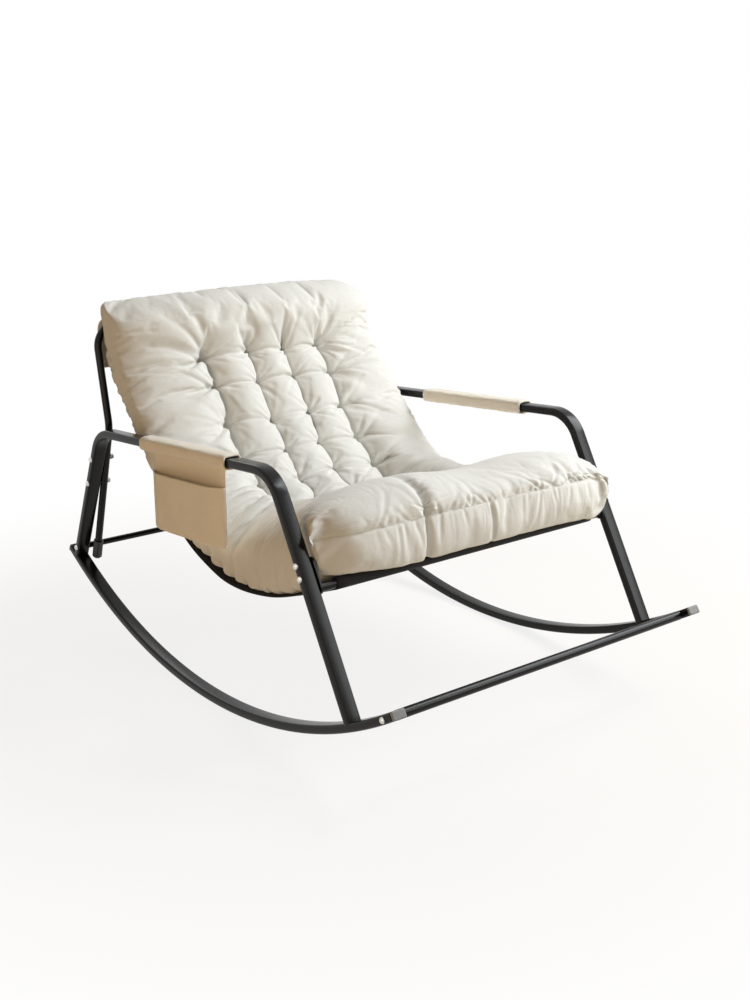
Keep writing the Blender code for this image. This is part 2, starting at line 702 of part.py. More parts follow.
def make_fasteners():
    head_x = OUTER_X + GAP
    through_tube = TUBE_WIDTH + 2 * GAP
    for stem, grip, points in (
        ("front_tube_bolt", through_tube + BOLT_BITE - 2 * GAP, [front_bolt_point()]),
        ("rear_tube_bolt", through_tube + BOLT_BITE - 2 * GAP, [rear_bolt_point()]),
        ("seat_plate_bolt", through_tube + SEAT_PLATE_THICKNESS, seat_bolt_points()),
        ("back_post_bolt", through_tube + 2 * POST_RADIUS + GAP + NUT_HEIGHT, post_bolt_points()),
    ):
        add_fasteners(stem, bolt_mesh(stem, grip), ZINC, side_spots(points, head_x, 1))
    make_nuts()
    make_bow_screws()


def make_nuts():
    hexagon = arc_points((0, 0), NUT_RADIUS, 0, math.tau * 5 / 6, 5)
    hole = arc_points((0, 0), BOLT_HOLE_RADIUS, 0, math.tau * 11 / 12, 11)
    mesh = flat_plate("nut", [hexagon, hole], NUT_HEIGHT)
    seat_x = POST_X - POST_RADIUS - GAP - NUT_HEIGHT / 2
    add_fasteners("back_post_nut", mesh, ZINC, side_spots(post_bolt_points(), seat_x, -1))


def make_bow_screws():
    rim = SCREW_HEAD_RADIUS
    profile = [(0, SCREW_HEAD_HEIGHT), (rim * 0.7, SCREW_HEAD_HEIGHT * 0.8),
               (rim, SCREW_HEAD_HEIGHT * 0.2), (rim, 0),
               (SCREW_RADIUS, 0), (SCREW_RADIUS, -SCREW_BITE), (0, -SCREW_BITE)]
    seat, outward = bow_screw_frame()
    spots = [(side, facing(Vector((sign * POST_X, 0, 0)) + seat, outward)) for side, sign in SIDES]
    add_fasteners("back_bow_screw", turned("bow_screw", profile, steps=8), ZINC, spots)


# Cloth and padding

def sling_half_width(y, z):
    if z > SLING_BACK_Z:
        share = min(1.0, (z - SLING_BACK_Z) / (BOW_TOP_Z - POST_RADIUS * 2 - SLING_BACK_Z))
        return SLING_BACK_HALF + (SLING_TOP_HALF - SLING_BACK_HALF) * share
    back_y = post_y(SLING_BACK_Z)
    share = (back_y - y) / (back_y - seat_tube_point()[0])
    return SLING_BACK_HALF + (SLING_FRONT_HALF - SLING_BACK_HALF) * min(1.0, max(0.0, share))


def sling_path():
    """Side view of the sling's middle: hem round the bow, control points of the hanging part, front hem."""
    top_radius = POST_RADIUS + GAP + CLOTH / 2
    front_radius = SEAT_TUBE_RADIUS + GAP + CLOTH / 2
    bow = Vector((post_y(BOW_TOP_Z), BOW_TOP_Z))
    top_hem = arc_points(bow, top_radius, math.pi - POST_UPPER_LEAN - HEM_TURN, HEM_TURN, HEM_STEPS)
    fold = Vector((post_y(SLING_BACK_Z) - top_radius / math.cos(POST_UPPER_LEAN), SLING_BACK_Z))
    seat_tube = seat_tube_point()
    run = seat_tube - Vector(SLING_SEAT[-1])
    front_hem = arc_points(seat_tube, front_radius, math.atan2(run[0], -run[1]), -HEM_TURN, HEM_STEPS)
    hanging = [top_hem[-1], fold] + [Vector(p) for p in SLING_SEAT] + [front_hem[0]]
    return top_hem, hanging, front_hem


def make_sling():
    top_hem, hanging, front_hem = sling_path()
    path = [side_point(0, p) for p in top_hem[:-1] + smooth_through(hanging, SLING_STEPS) + front_hem[1:]]
    outline = [(-0.5, -CLOTH / 2), (0.5, -CLOTH / 2), (0.5, CLOTH / 2), (-0.5, CLOTH / 2)]
    mesh = bar_along("sling", path, outline)
    for vertex in mesh.vertices:
        vertex.co.x *= 2 * sling_half_width(vertex.co.y, vertex.co.z)
    add_part("sling", mesh, SLING_CLOTH)


def pad_under():
    """Dense side view of the pad's underside: up the bow, down the sling and over the front hem."""
    hanging = sling_path()[1]
    line = smooth_through(hanging, PAD_STEPS)[:(len(hanging) - 2) * PAD_STEPS + 1]
    lift = CLOTH / 2 + PAD_UNDER_LIFT
    lifted = []
    for k, here in enumerate(line):
        along = (line[min(k + 1, len(line) - 1)] - line[max(k - 1, 0)]).normalized()
        lifted.append(here + Vector((along[1], -along[0])) * lift)
    head = lifted[0] + (lifted[0] - lifted[PAD_STEPS]).normalized() * PAD_ABOVE_BOW
    above = [head.lerp(lifted[0], k / PAD_STEPS) for k in range(PAD_STEPS)]
    tube = seat_tube_point()
    hem_top = tube[1] + SEAT_TUBE_RADIUS + CLOTH + 3 * GAP
    lip = [Vector((tube[0] + PAD_LIP, hem_top)), Vector((tube[0] - PAD_LIP, hem_top))]
    over_hem = smooth_through([lifted[-1]] + lip + [Vector(p) for p in PAD_FACE], PAD_STEPS)
    return above + lifted + over_hem[1:]


def pad_section_lines():
    """Dense matching side views of the underside and the crown, with lengths along the underside."""
    under = pad_under()
    crown = smooth_through(PAD_CROWN, PAD_STEPS)
    lengths = [0.0]
    for a, b in zip(under, under[1:]):
        lengths.append(lengths[-1] + (b - a).length)
    return under, crown, lengths


def line_at(lines, lengths, distance):
    distance = min(max(distance, 0.0), lengths[-1])
    k = next(k for k, reach in enumerate(lengths[1:]) if reach >= distance - 1e-9)
    share = (distance - lengths[k]) / (lengths[k + 1] - lengths[k])
    return lines[k].lerp(lines[k + 1], share)


def round_side(off, half):
    """From 1 at a crease to 0 on the crown of a round pillow beside it."""
    share = 1 - min(1.0, off / half)
    return 1 - math.sqrt(1 - share ** 2)


def tuft_sink(x, distance):
    """How far the cover is drawn in by the sewn tufts and the valleys and folds between them."""
    row = (distance - TUFT_FIRST) / TUFT_PITCH
    near_row = min(max(round(row), 0), TUFT_ROWS - 1)
    off_row = abs(row - near_row) * TUFT_PITCH
    off_column = min(abs(x - column) for column in TUFT_COLUMNS)
    past_ends = max(0.0, -row, row - (TUFT_ROWS - 1)) * TUFT_PITCH
    beyond = max(0.0, abs(x) - TUFT_COLUMNS[-1])
    column_half = (TUFT_COLUMNS[1] - TUFT_COLUMNS[0]) / 2
    valley = round_side(off_column, VALLEY_OUTER_SIDE if beyond > 0 else column_half)
    valley *= math.exp(-(past_ends / VALLEY_FADE) ** 2)
    fold = round_side(off_row, FOLD_OUTER_SIDE if past_ends > 0 else TUFT_PITCH / 2)
    fold *= math.exp(-(beyond / FOLD_FADE) ** 2) * (0.4 + 0.6 * math.exp(-(off_column / FOLD_NEAR_TUFT) ** 2))
    tuft = math.exp(-(off_row ** 2 + off_column ** 2) / TUFT_SPREAD ** 2)
    field = math.exp(-(past_ends / FIELD_FADE) ** 2 - (beyond / FIELD_FADE) ** 2)
    return VALLEY_DEPTH * valley + FOLD_DEPTH * fold + TUFT_DEPTH * tuft + FIELD_DROP * field


def smooth_step(share):
    """From 0 to 1 with a soft start and end."""
    share = min(1.0, max(0.0, share))
    return share ** 2 * (3 - 2 * share)


def side_roll(x, distance):
    """How much the rolls along the sides stand up beside the seat."""
    beside = smooth_step((abs(x) - TUFT_COLUMNS[-1]) / PAD_SIDE_ROLL_RISE)
    return PAD_SIDE_ROLL * beside * math.exp(-((distance - PAD_SIDE_ROLL_MIDDLE) / PAD_SIDE_ROLL_REACH) ** 2)


def pad_half_width(x, distance, end):
    """Half width of the pad on the side of x, at a distance from the head of its whole length."""
    share = distance / end
    half = PAD_HEAD_HALF_WIDTH + (PAD_HALF_WIDTH - PAD_HEAD_HALF_WIDTH) * share
    half -= PAD_WAIST * math.sin(math.pi * share)
    corner = PAD_HEAD_CORNERS["left" if x > 0 else "right"]
    from_corner = max(0.0, 1 - distance / corner)
    half -= corner * (1 - math.sqrt(1 - from_corner ** 2)) * 0.7
    if x > 0:
        half -= PAD_HEAD_SLIM * math.exp(-(distance / PAD_HEAD_SLIM_REACH) ** 2)
    else:
        before_leg = (distance - end + PAD_FLARE_START) / PAD_FLARE_LENGTH
        half += PAD_FRONT_FLARE * smooth_step(before_leg)
    return half


def pad_lines():
    """Grid lines across the pad and along its tufted field; tufts fall on crossings."""
    pitch = TUFT_COLUMNS[1] - TUFT_COLUMNS[0]
    last = TUFT_COLUMNS[-1] + pitch / 2
    quarter = pitch / 4
    positive = [k * quarter for k in range(1, round(last / quarter) + 1)]
    positive += [last + (PAD_HALF_WIDTH - last) * share for share in (0.40, 0.72, 0.92, 1.0)]
    across = [-x for x in reversed(positive)] + [0.0] + positive
    tufted = [TUFT_FIRST + TUFT_PITCH * k / 2 for k in range(2 * TUFT_ROWS)]
    return across, tufted


def make_pad():
    under, crown, lengths = pad_section_lines()
    across, tufted = pad_lines()
    end = lengths[-1]
    head = [TUFT_FIRST * share for share in (0.0, 0.10, 0.28, 0.52, 0.78)]
    front_run = end - tufted[-1]
    front = [tufted[-1] + front_run * share for share in (0.15, 0.31, 0.47, 0.62, 0.75, 0.86, 0.93, 1.0)]
    along = head + tufted + front
    bm = bmesh.new()
    for upper in (True, False):
        grid = bmesh.ops.create_grid(bm, x_segments=len(across) - 1, y_segments=len(along) - 1, size=1.0)
        for vertex in grid["verts"]:
            column = round((vertex.co.x + 1) / 2 * (len(across) - 1))
            row = round((vertex.co.y + 1) / 2 * (len(along) - 1))
            vertex.co = pad_point(across[column], along[row], upper, under, crown, lengths)
    bmesh.ops.remove_doubles(bm, verts=bm.verts, dist=1e-5)
    add_part("cushion", finished_mesh(bm, "cushion"), PAD_CLOTH, smooth_angle=60.0)


def pad_seam_share(distance):
    """Height of the edge seam as a share of the thickness; it climbs towards the front."""
    low, high = PAD_SEAM_RISE
    rise = smooth_step((distance - low) / (high - low))
    return PAD_SEAM_HEIGHT + (PAD_FRONT_SEAM_HEIGHT - PAD_SEAM_HEIGHT) * rise


def pad_point(x, distance, upper, under, crown, lengths):
    """A point of the pad's cover; the two covers meet in the seam round its edge."""
    base = line_at(under, lengths, distance)
    top = line_at(crown, lengths, distance)
    edge = max(0.0, 1 - (abs(x) / PAD_HALF_WIDTH) ** PAD_EDGE_POWER) ** PAD_EDGE_ROUND
    head_rise = min(1.0, distance / PAD_HEAD_ROUND)
    fill = edge * (1 - (1 - head_rise) ** 2.2) ** 0.5
    thickness = (top - base).length
    seam = pad_seam_share(distance)
    if upper:
        height = thickness * (seam + (1 - seam) * fill) + (PAD_PLUMP + side_roll(x, distance)) * fill
        height -= tuft_sink(x, distance) * min(1.0, 1.6 * fill)
    else:
        height = thickness * seam * (1 - min(1.0, PAD_REST * fill ** 0.8)) ** 1.5
    place = base
    if thickness > 1e-6:
        place = base + (top - base).normalized() * height
    return side_point(x * pad_half_width(x, distance, lengths[-1]) / PAD_HALF_WIDTH, place)


def make_hood():
    """The pad's cloth hood: from the back of the pad's head, over the bow and down behind it."""
    reach = POST_RADIUS + GAP + CLOTH + HOOD_SLACK + CLOTH / 2
    bow = Vector((post_y(BOW_TOP_Z), BOW_TOP_Z))
    outward = Vector((math.cos(POST_UPPER_LEAN), -math.sin(POST_UPPER_LEAN)))
    under = pad_under()
    sewn = under[0].lerp(under[PAD_STEPS], HOOD_SEAM_SHARE) + outward * (CLOTH / 2 + HOOD_SLACK)
    over = arc_points(bow, reach, math.radians(75.0), math.radians(-75.0) - POST_UPPER_LEAN, 5)
    hem = Vector((post_y(HOOD_HEM_Z) + reach / math.cos(POST_UPPER_LEAN), HOOD_HEM_Z))
    path = [side_point(0, p) for p in [sewn] + over + [hem]]
    outline = [(-HOOD_HALF_WIDTH, -CLOTH / 2), (HOOD_HALF_WIDTH, -CLOTH / 2),
               (HOOD_HALF_WIDTH, CLOTH / 2), (-HOOD_HALF_WIDTH, CLOTH / 2)]
    mesh = bar_along("cushion_hood", path, outline)
    for vertex in mesh.vertices:
        up = (vertex.co.z - HOOD_HEM_Z) / (sewn[1] - HOOD_HEM_Z)
        inset = HOOD_TOP_INSET["left" if vertex.co.x > 0 else "right"] * max(0.0, 2.2 * up - 1.2) ** 2
        vertex.co.x *= 1 - inset / HOOD_HALF_WIDTH
    add_part("cushion_hood", mesh, PAD_CLOTH)


def make_sleeves():
    inner_width = TUBE_WIDTH + 2 * SLEEVE_SLACK
    inner_depth = TUBE_DEPTH + 2 * SLEEVE_SLACK
    hole = rounded_rectangle(inner_width, inner_depth, TUBE_CORNER, 2)
    padding = 2 * SLEEVE_PADDING
    outer = rounded_rectangle(inner_width + padding, inner_depth + padding, SLEEVE_CORNER, 3)
    for side, sign in SIDES:
        name = f"arm_sleeve_{side}"
        mesh = flat_plate(name, [outer, hole], SLEEVE_LENGTH)
        middle = Vector((sign * FRAME_HALF_WIDTH, SLEEVE_MIDDLE_Y, arm_z(SLEEVE_MIDDLE_Y)))
        turn = Matrix.Rotation(math.pi / 2 + ARM_SLOPE, 4, "X")
        mesh.transform(Matrix.Translation(middle) @ turn)
        add_part(name, mesh, SLEEVE_CLOTH)


def make_pocket():
    """A flat pouch hung from the right sleeve: a tall back panel and a lower front panel."""
    half = POCKET_LENGTH / 2
    low_end = SLEEVE_MIDDLE_Y + half
    below_sleeve = TUBE_DEPTH / 2 + SLEEVE_SLACK + SLEEVE_PADDING + GAP
    tilt = math.tan(ARM_SLOPE)
    hang = arm_z(SLEEVE_MIDDLE_Y) - below_sleeve / math.cos(ARM_SLOPE)
    back_x = -FRAME_HALF_WIDTH - POCKET_CLOTH / 2
    front_x = back_x - POCKET_DEPTH
    outer = [(back_x + POCKET_CLOTH, hang), (back_x + POCKET_CLOTH, POCKET_BOTTOM_Z),
             (front_x + POCKET_DEPTH * 0.3, POCKET_BOTTOM_Z), (front_x, POCKET_BOTTOM_Z + POCKET_DEPTH * 0.5),
             (front_x, POCKET_MOUTH_Z), (back_x, POCKET_MOUTH_Z), (back_x, hang)]
    inner = [(back_x, POCKET_BOTTOM_Z + POCKET_CLOTH),
             (front_x + POCKET_DEPTH * 0.4, POCKET_BOTTOM_Z + POCKET_CLOTH),
             (front_x + POCKET_CLOTH, POCKET_BOTTOM_Z + POCKET_DEPTH * 0.55),
             (front_x + POCKET_CLOTH, POCKET_MOUTH_Z + POCKET_DEPTH), (back_x, POCKET_MOUTH_Z + POCKET_DEPTH)]
    meshes = []
    for name, outline, length in (("arm_pocket", outer, POCKET_LENGTH),
                                  ("pocket_space", inner, POCKET_LENGTH - 2 * POCKET_CLOTH)):
        mesh = flat_plate(name, [outline], length)
        mesh.transform(Matrix.Translation((0, SLEEVE_MIDDLE_Y, 0)) @ Matrix.Rotation(math.pi / 2, 4, "X"))
        for vertex in mesh.vertices:
            vertex.co.z += (vertex.co.y - SLEEVE_MIDDLE_Y) * tilt
        meshes.append(mesh)
    pocket = add_part("arm_pocket", meshes[0], SLEEVE_CLOTH)
    cut(pocket, add_cutter("pocket_space", meshes[1]))


clear_scene()
PARTS = new_collection("rocking_lounge_chair")
CUTTERS = new_collection("cutters")
make_rockers()
make_hoops()
make_cross_tubes()
make_seat_plates()
make_back_frame()
make_fasteners()
make_sling()
make_pad()
make_hood()
make_sleeves()
make_pocket()
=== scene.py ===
"""Rocking lounge chair: the finished look of a steel rocker frame with a sling and a tufted cotton pad."""

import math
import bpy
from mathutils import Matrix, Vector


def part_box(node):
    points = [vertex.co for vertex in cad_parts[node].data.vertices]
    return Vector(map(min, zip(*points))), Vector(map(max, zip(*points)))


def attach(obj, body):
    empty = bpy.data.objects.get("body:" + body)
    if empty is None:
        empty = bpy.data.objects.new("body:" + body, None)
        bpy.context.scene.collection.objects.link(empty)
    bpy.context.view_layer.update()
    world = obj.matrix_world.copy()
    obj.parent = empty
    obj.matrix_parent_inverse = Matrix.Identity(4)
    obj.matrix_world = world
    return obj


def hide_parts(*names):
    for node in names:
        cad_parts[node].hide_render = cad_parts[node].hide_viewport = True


bl_info = {
    "name": "Rocking Lounge Chair",
    "version": (1, 0, 0),
    "blender": (4, 5, 0),
    "location": "View3D > Sidebar > Chair",
    "description": "Dresses the solids of a rocking lounge chair with steel, cotton and sling cloth",
    "category": "Object",
}

import bmesh
import bpy
import numpy as np
from bpy.props import FloatProperty, FloatVectorProperty, IntProperty, PointerProperty
from bpy.types import Operator, Panel, PropertyGroup
from mathutils import Matrix, Vector, noise

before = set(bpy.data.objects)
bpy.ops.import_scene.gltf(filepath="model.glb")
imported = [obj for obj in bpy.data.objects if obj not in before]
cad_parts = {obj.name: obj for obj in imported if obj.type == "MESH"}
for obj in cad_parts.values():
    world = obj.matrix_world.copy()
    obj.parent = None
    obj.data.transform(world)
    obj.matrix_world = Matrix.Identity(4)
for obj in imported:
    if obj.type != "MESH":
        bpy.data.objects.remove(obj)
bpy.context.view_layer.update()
SIDES = (("right", -1), ("left", 1))


# Sizes and colours that a user may change

def length(label, words, value):
    return FloatProperty(name=label, description=words, default=value, subtype="DISTANCE", unit="LENGTH",
                         precision=4)


def turn(label, words, degrees):
    return FloatProperty(name=label, description=words, default=math.radians(degrees), subtype="ANGLE",
                         unit="ROTATION")


def share(label, words, value):
    return FloatProperty(name=label, description=words, default=value, min=0.0, max=1.0, subtype="FACTOR")


def tint(label, words, value):
    return FloatVectorProperty(name=label, description=words, default=value, size=3, min=0.0, max=1.0,
                               subtype="COLOR")


class ChairSteel(PropertyGroup):
    half_width: length("Half width", "Middle of the chair to the middle of a side frame", 0.330)
    tube_width: length("Tube width", "Flat tube of the side frames, across the chair", 0.026)
    tube_depth: length("Tube depth", "Flat tube of the side frames, in the side view", 0.015)
    tube_corner: length("Tube corner", "Rounding of the flat tube", 0.004)
    rocker_radius: length("Rocker radius", "Underside of a rocker", 0.990)
    rocker_front: length("Rocker front", "Front end of a rocker from the floor contact", -0.530)
    rocker_rear: length("Rocker rear", "Rear end of a rocker from the floor contact", 0.500)
    arm_height: length("Arm height", "Middle of the arm tube above the floor contact", 0.441)
    arm_slope: turn("Arm slope", "Fall of the arm towards the rear", -4.6)
    front_leg_floor: length("Front leg", "Where the line of the front leg meets the floor", -0.4866)
    front_leg_lean: turn("Front leg lean", "Lean of the front leg to the rear", 29.7)
    rear_leg_floor: length("Rear leg", "Where the line of the rear leg meets the floor", 0.5398)
    rear_leg_lean: turn("Rear leg lean", "Lean of the rear leg to the front", 24.4)
    arm_bend: length("Arm bend", "Radius of the bends between the arm and the legs", 0.066)
    post_side: length("Post from the middle", "Middle of the chair to the middle of a back post", 0.3097)
    post_radius: length("Post radius", "Round tube of the back posts and the bow", 0.007)
    post_kink_y: length("Post kink", "Kink of a back post from the floor contact", 0.362)
    post_kink_z: length("Post kink height", "Height of the kink of a back post", 0.417)
    post_lower_lean: turn("Lower lean", "Lean of a back post under its kink", -17.2)
    post_upper_lean: turn("Upper lean", "Lean of a back post above its kink", 10.6)
    post_foot: length("Post foot", "Height of the foot of a back post", 0.138)
    post_top: length("Post top", "Height of the top of a back post", 0.528)
    bow_top: length("Bow height", "Height of the bow across the back", 0.606)
    bow_bend: length("Bow bend", "Radius of the bends of the bow", 0.045)


class ChairPad(PropertyGroup):
    head_half: length("Head half width", "Middle of the pad to its edge at the head", 0.313)
    seat_half: length("Seat half width", "Middle of the pad to its edge at the seat", 0.308)
    waist: length("Waist", "How far the sides draw in between the ends", 0.006)
    above_bow: length("Head above the bow", "Head of the pad above the top of the sling", 0.042)
    lip: length("Front lip", "Front edge of the pad before and behind the seat tube", 0.019)
    column: length("Tuft column", "Distance between two columns of tufts", 0.090)
    first_row: length("First row", "First row of tufts from the head, along the pad", 0.146)
    row: length("Tuft row", "Distance between two rows of tufts", 0.080)
    rows: IntProperty(name="Rows", description="Number of rows of tufts", default=7, min=1, max=9)
    tuft_depth: length("Tuft depth", "How much deeper a tuft is drawn in than the folds that meet in it", 0.004)
    tuft_floor: length("Tuft floor", "Stuffing that is left under a tuft", 0.007)
    valley_depth: length("Valley depth", "Depth of the valleys that run from tuft to tuft along the pad", 0.030)
    fold_depth: length("Fold depth", "Depth of the folds that run from tuft to tuft across the pad", 0.017)
    field_drop: length("Field drop", "How much lower the tufted field lies than the rolls round it", 0.006)
    side_roll: length("Side rolls", "How much higher the side rolls stand beside the seat", 0.046)
    front_flare: length("Front flare", "How far the front roll's right end swells out before the leg", 0.024)
    front_round: length("Front round", "How far the front roll's right end draws back to the leg", 0.036)
    front_sag: length("Front sag", "How much lower the front roll is in its middle", 0.018)
    front_hang: length("Front hang", "How far the front face hangs down before the seat tube", 0.010)
    flank_lift: length("Flank lift", "How far the right flank bunches up off the sling beside the seat", 0.013)
    slack: length("Slack", "How far the cover lies under its full shape before the stuffing swells it", 0.006)
    seam_depth: length("Seam depth", "How far the seam round the edge is drawn in", 0.0016)
    valley_hold: share("Valley hold", "How firmly the valleys between the tufts are held down", 0.8)
    pressure: FloatProperty(name="Stuffing", description="Pressure of the stuffing on the cover", default=4.0)
    spare: share("Spare cloth", "How much larger the cover is than the shape it is drawn over", 0.05)
    swell: length("Most swell", "How far the stuffing may push the cover out", 0.016)
    cells: IntProperty(name="Cells", description="Cells of the cover between two columns of tufts", default=18,
                       min=4, max=24)


class ChairCloth(PropertyGroup):
    sling_thickness: length("Sling thickness", "Thickness of the sling cloth", 0.0020)
    sling_top: length("Sling top", "Middle to edge of the sling at the bow", 0.2557)
    sling_back: length("Sling back", "Middle to edge of the sling at the back", 0.2937)
    sling_front: length("Sling front", "Middle to edge of the sling at the seat tube", 0.284)
    hood_half: length("Hood half width", "Middle to edge of the hood over the bow", 0.2997)
    hood_hem: length("Hood hem", "Height of the hem of the hood", 0.525)
    sleeve_length: length("Sleeve length", "Length of an arm sleeve", 0.282)
    sleeve_middle: length("Sleeve middle", "Middle of an arm sleeve from the floor contact", 0.034)
    sleeve_padding: length("Sleeve padding", "Padding round the arm tube", 0.0055)
    pocket_length: length("Pocket length", "Length of the pocket under the right arm", 0.236)
    pocket_bottom: length("Pocket bottom", "Height of the bottom of the pocket", 0.288)
    pocket_mouth: length("Pocket mouth", "Height of the mouth of the pocket", 0.392)
    pocket_depth: length("Pocket depth", "Depth of the pocket", 0.018)


class ChairColours(PropertyGroup):
    steel: tint("Powder coat", "Black coat of the steel", (0.0060, 0.0055, 0.0050))
    zinc: tint("Zinc", "Plating of the bolts", (0.62, 0.61, 0.58))
    cap: tint("Caps", "Plastic of the cups on the back posts", (0.020, 0.020, 0.020))
    plug: tint("Plugs", "Plastic of the plugs in the rockers", (0.20, 0.20, 0.20))
    sling: tint("Sling", "Cloth of the sling", (0.015, 0.014, 0.013))
    pad: tint("Pad", "Cotton of the pad", (0.790, 0.776, 0.735))
    sleeve: tint("Sleeves", "Canvas of the sleeves and the pocket", (0.920, 0.855, 0.745))
    floor: tint("Floor", "Studio floor and backdrop", (0.84, 0.74, 0.60))


def steel_sizes():
    return bpy.context.scene.chair_steel


def pad_sizes():
    return bpy.context.scene.chair_pad


def cloth_sizes():
    return bpy.context.scene.chair_cloth


def colours():
    return bpy.context.scene.chair_colours


# Lines in the side view

def rounded_path(points, radius, steps):
    """A run of straight lines whose inner corners become arcs."""
    points = [Vector(p) for p in points]
    path = [points[0]]
    for before, corner, after in zip(points, points[1:], points[2:]):
        to_before = (before - corner).normalized()
        to_after = (after - corner).normalized()
        half = to_before.angle(to_after) / 2
        start = corner + to_before * (radius / math.tan(half))
        middle = corner + (to_before + to_after).normalized() * (radius / math.sin(half))
        spoke = start - middle
        for k in range(steps + 1):
            angle = (math.pi - 2 * half) * k / steps
            path.append(middle + spoke * math.cos(angle) - to_before * radius * math.sin(angle))
    path.append(points[-1])
    return path


def smooth_through(points, steps):
    """A soft curve that passes through each point."""
    points = [Vector(p) for p in points]
    ends = [2 * points[0] - points[1]] + points + [2 * points[-1] - points[-2]]
    path = []
    for a, b, c, d in zip(ends, ends[1:], ends[2:], ends[3:]):
        for k in range(steps):
            t = k / steps
            path.append(0.5 * (2 * b + (c - a) * t + (2 * a - 5 * b + 4 * c - d) * t ** 2
                               + (3 * b - a - 3 * c + d) * t ** 3))
    path.append(points[-1])
    return path


def arc_points(middle, radius, start, sweep, steps):
    return [Vector((middle[0] + radius * math.cos(start + sweep * k / steps),
                    middle[1] + radius * math.sin(start + sweep * k / steps))) for k in range(steps + 1)]


def side_point(x, side_view):
    return Vector((x, side_view[0], side_view[1]))


def arm_z(y):
    s = steel_sizes()
    return s.arm_height + y * math.tan(s.arm_slope)


def post_y(z):
    s = steel_sizes()
    lean = s.post_upper_lean if z > s.post_kink_z else s.post_lower_lean
    return s.post_kink_y + (z - s.post_kink_z) * math.tan(lean)


def arm_corner(floor_y, lean):
    """Where the line of a leg meets the line of the arm."""
    s = steel_sizes()
    slope = math.tan(s.arm_slope)
    z = (s.arm_height + floor_y * slope) / (1 - math.tan(lean) * slope)
    return Vector((floor_y + z * math.tan(lean), z))


def box_middle(node):
    low, high = (Vector(corner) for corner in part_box(node))
    return (low + high) / 2


def box_size(node):
    low, high = (Vector(corner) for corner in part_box(node))
    return high - low


# Node materials

RAMP_ENDS = (0.3, 0.7)
# Of each hard finish: roughness, metal; scale, detail and range of the tone and of the gloss; scale, detail, depth
# and strength of the grain; specular level
POWDER_COAT = (0.36, 0.0, (9.0, 3.0, 0.80, 1.30), (55.0, 3.0, 0.16, 0.28), (620.0, 1.0, 0.00012, 0.6), 0.18)
ZINC_PLATE = (0.30, 1.0, (160.0, 3.0, 0.82, 1.08), (160.0, 3.0, 0.24, 0.42), (1800.0, 2.0, 0.00005, 0.5), 0.5)
MOULDED = (0.50, 0.0, (70.0, 2.0, 0.88, 1.12), (1400.0, 2.0, 0.42, 0.60), (1400.0, 2.0, 0.00010, 0.6), 0.5)
# Of each cloth: thread, crease, roughness, sheen, unevenness of the thread
COTTON = (0.0013, 0.0009, 0.86, 0.15, 0.05)
CANVAS = (0.0015, 0.0005, 0.86, 0.15, 0.05)
SLING_WEAVE = (0.0016, 0.0004, 0.80, 0.05, 0.25)
# The pad's map, in metres: its middle and its front end, and the depth of the gathers
MAP_MIDDLE, MAP_END, GATHER_DEPTH = 0.310, 0.976, 0.0045


class NodeKit:
    """Adds nodes to a tree; each input is a value or the output of another node."""

    def __init__(self, tree):
        self.nodes, self.links = tree.nodes, tree.links

    def join(self, value, socket):
        if isinstance(value, bpy.types.NodeSocket):
            self.links.new(value, socket)
        else:
            socket.default_value = value

    def add(self, kind, inputs, output=0, **settings):
        """A new node with its settings and inputs; gives one of its outputs."""
        made = self.nodes.new(f"ShaderNode{kind}")
        for key, value in settings.items():
            setattr(made, key, value)
        for socket, value in inputs.items():
            self.join(value, made.inputs[socket])
        return made.outputs[output]

    def place(self, output="Object", scale=(1, 1, 1)):
        """Object or UV coordinates, scaled."""
        return self.add("Mapping", {"Vector": self.add("TexCoord", {}, output), "Scale": scale}, "Vector")

    def noise(self, place, scale, detail=2.0, roughness=0.5, distortion=0.0):
        return self.add("TexNoise", {"Vector": place, "Scale": scale, "Detail": detail, "Roughness": roughness,
                                     "Distortion": distortion}, "Fac")

    def ridges(self, place, distortion):
        """Sharp lines with soft swells between them, as cloth gathers."""
        return self.add("TexNoise", {"Vector": place, "Scale": 1.0, "Detail": 1.5, "Distortion": distortion},
                        "Fac", noise_type="RIDGED_MULTIFRACTAL")

    def threads(self, place, direction, period):
        return self.add("TexWave", {"Vector": place, "Scale": math.pi / (10 * period), "Distortion": 0.6}, "Fac",
                        wave_type="BANDS", bands_direction=direction)

    def work(self, operation, *values):
        return self.add("Math", dict(enumerate(values)), operation=operation)

    def tones(self, value, colour, dark, light):
        """A value turned into a blend of a darker and a lighter tone of the colour."""
        made = self.nodes.new("ShaderNodeValToRGB")
        for element, position, factor in zip(made.color_ramp.elements, RAMP_ENDS, (dark, light)):
            element.position = position
            element.color = (*(min(1.0, c * factor) for c in colour), 1.0)
        self.join(value, made.inputs["Fac"])
        return made.outputs["Color"]

    def between(self, value, low, high):
        return self.add("MapRange", {"Value": value, "To Min": low, "To Max": high}, "Result")

    def band(self, value, start, stop, low=0.0, high=1.0):
        """The low value before the start and the high one after the stop, with soft ends."""
        return self.add("MapRange", {"Value": value, "From Min": start, "From Max": stop, "To Min": low,
                                     "To Max": high}, "Result", interpolation_type="SMOOTHSTEP")

    def bump(self, height, distance, strength=1.0, before=None):
        inputs = {"Height": height, "Distance": distance, "Strength": strength}
        if before is not None:
            inputs["Normal"] = before
        return self.add("Bump", inputs, "Normal")

    def camera_seen(self):
        """1 for rays that show the stage itself, straight, mirrored or through glass."""
        path = self.nodes.new("ShaderNodeLightPath").outputs
        seen = self.work("MAXIMUM", path["Is Camera Ray"], path["Is Glossy Ray"])
        return self.work("MAXIMUM", seen, path["Is Transmission Ray"])

    def blend(self, share, first, second, end):
        """Leads a mix of two shaders to the tree's last node."""
        mix = self.add("MixShader", {"Fac": share, 1: first, 2: second}, "Shader")
        self.join(mix, self.nodes[end].inputs["Surface"])


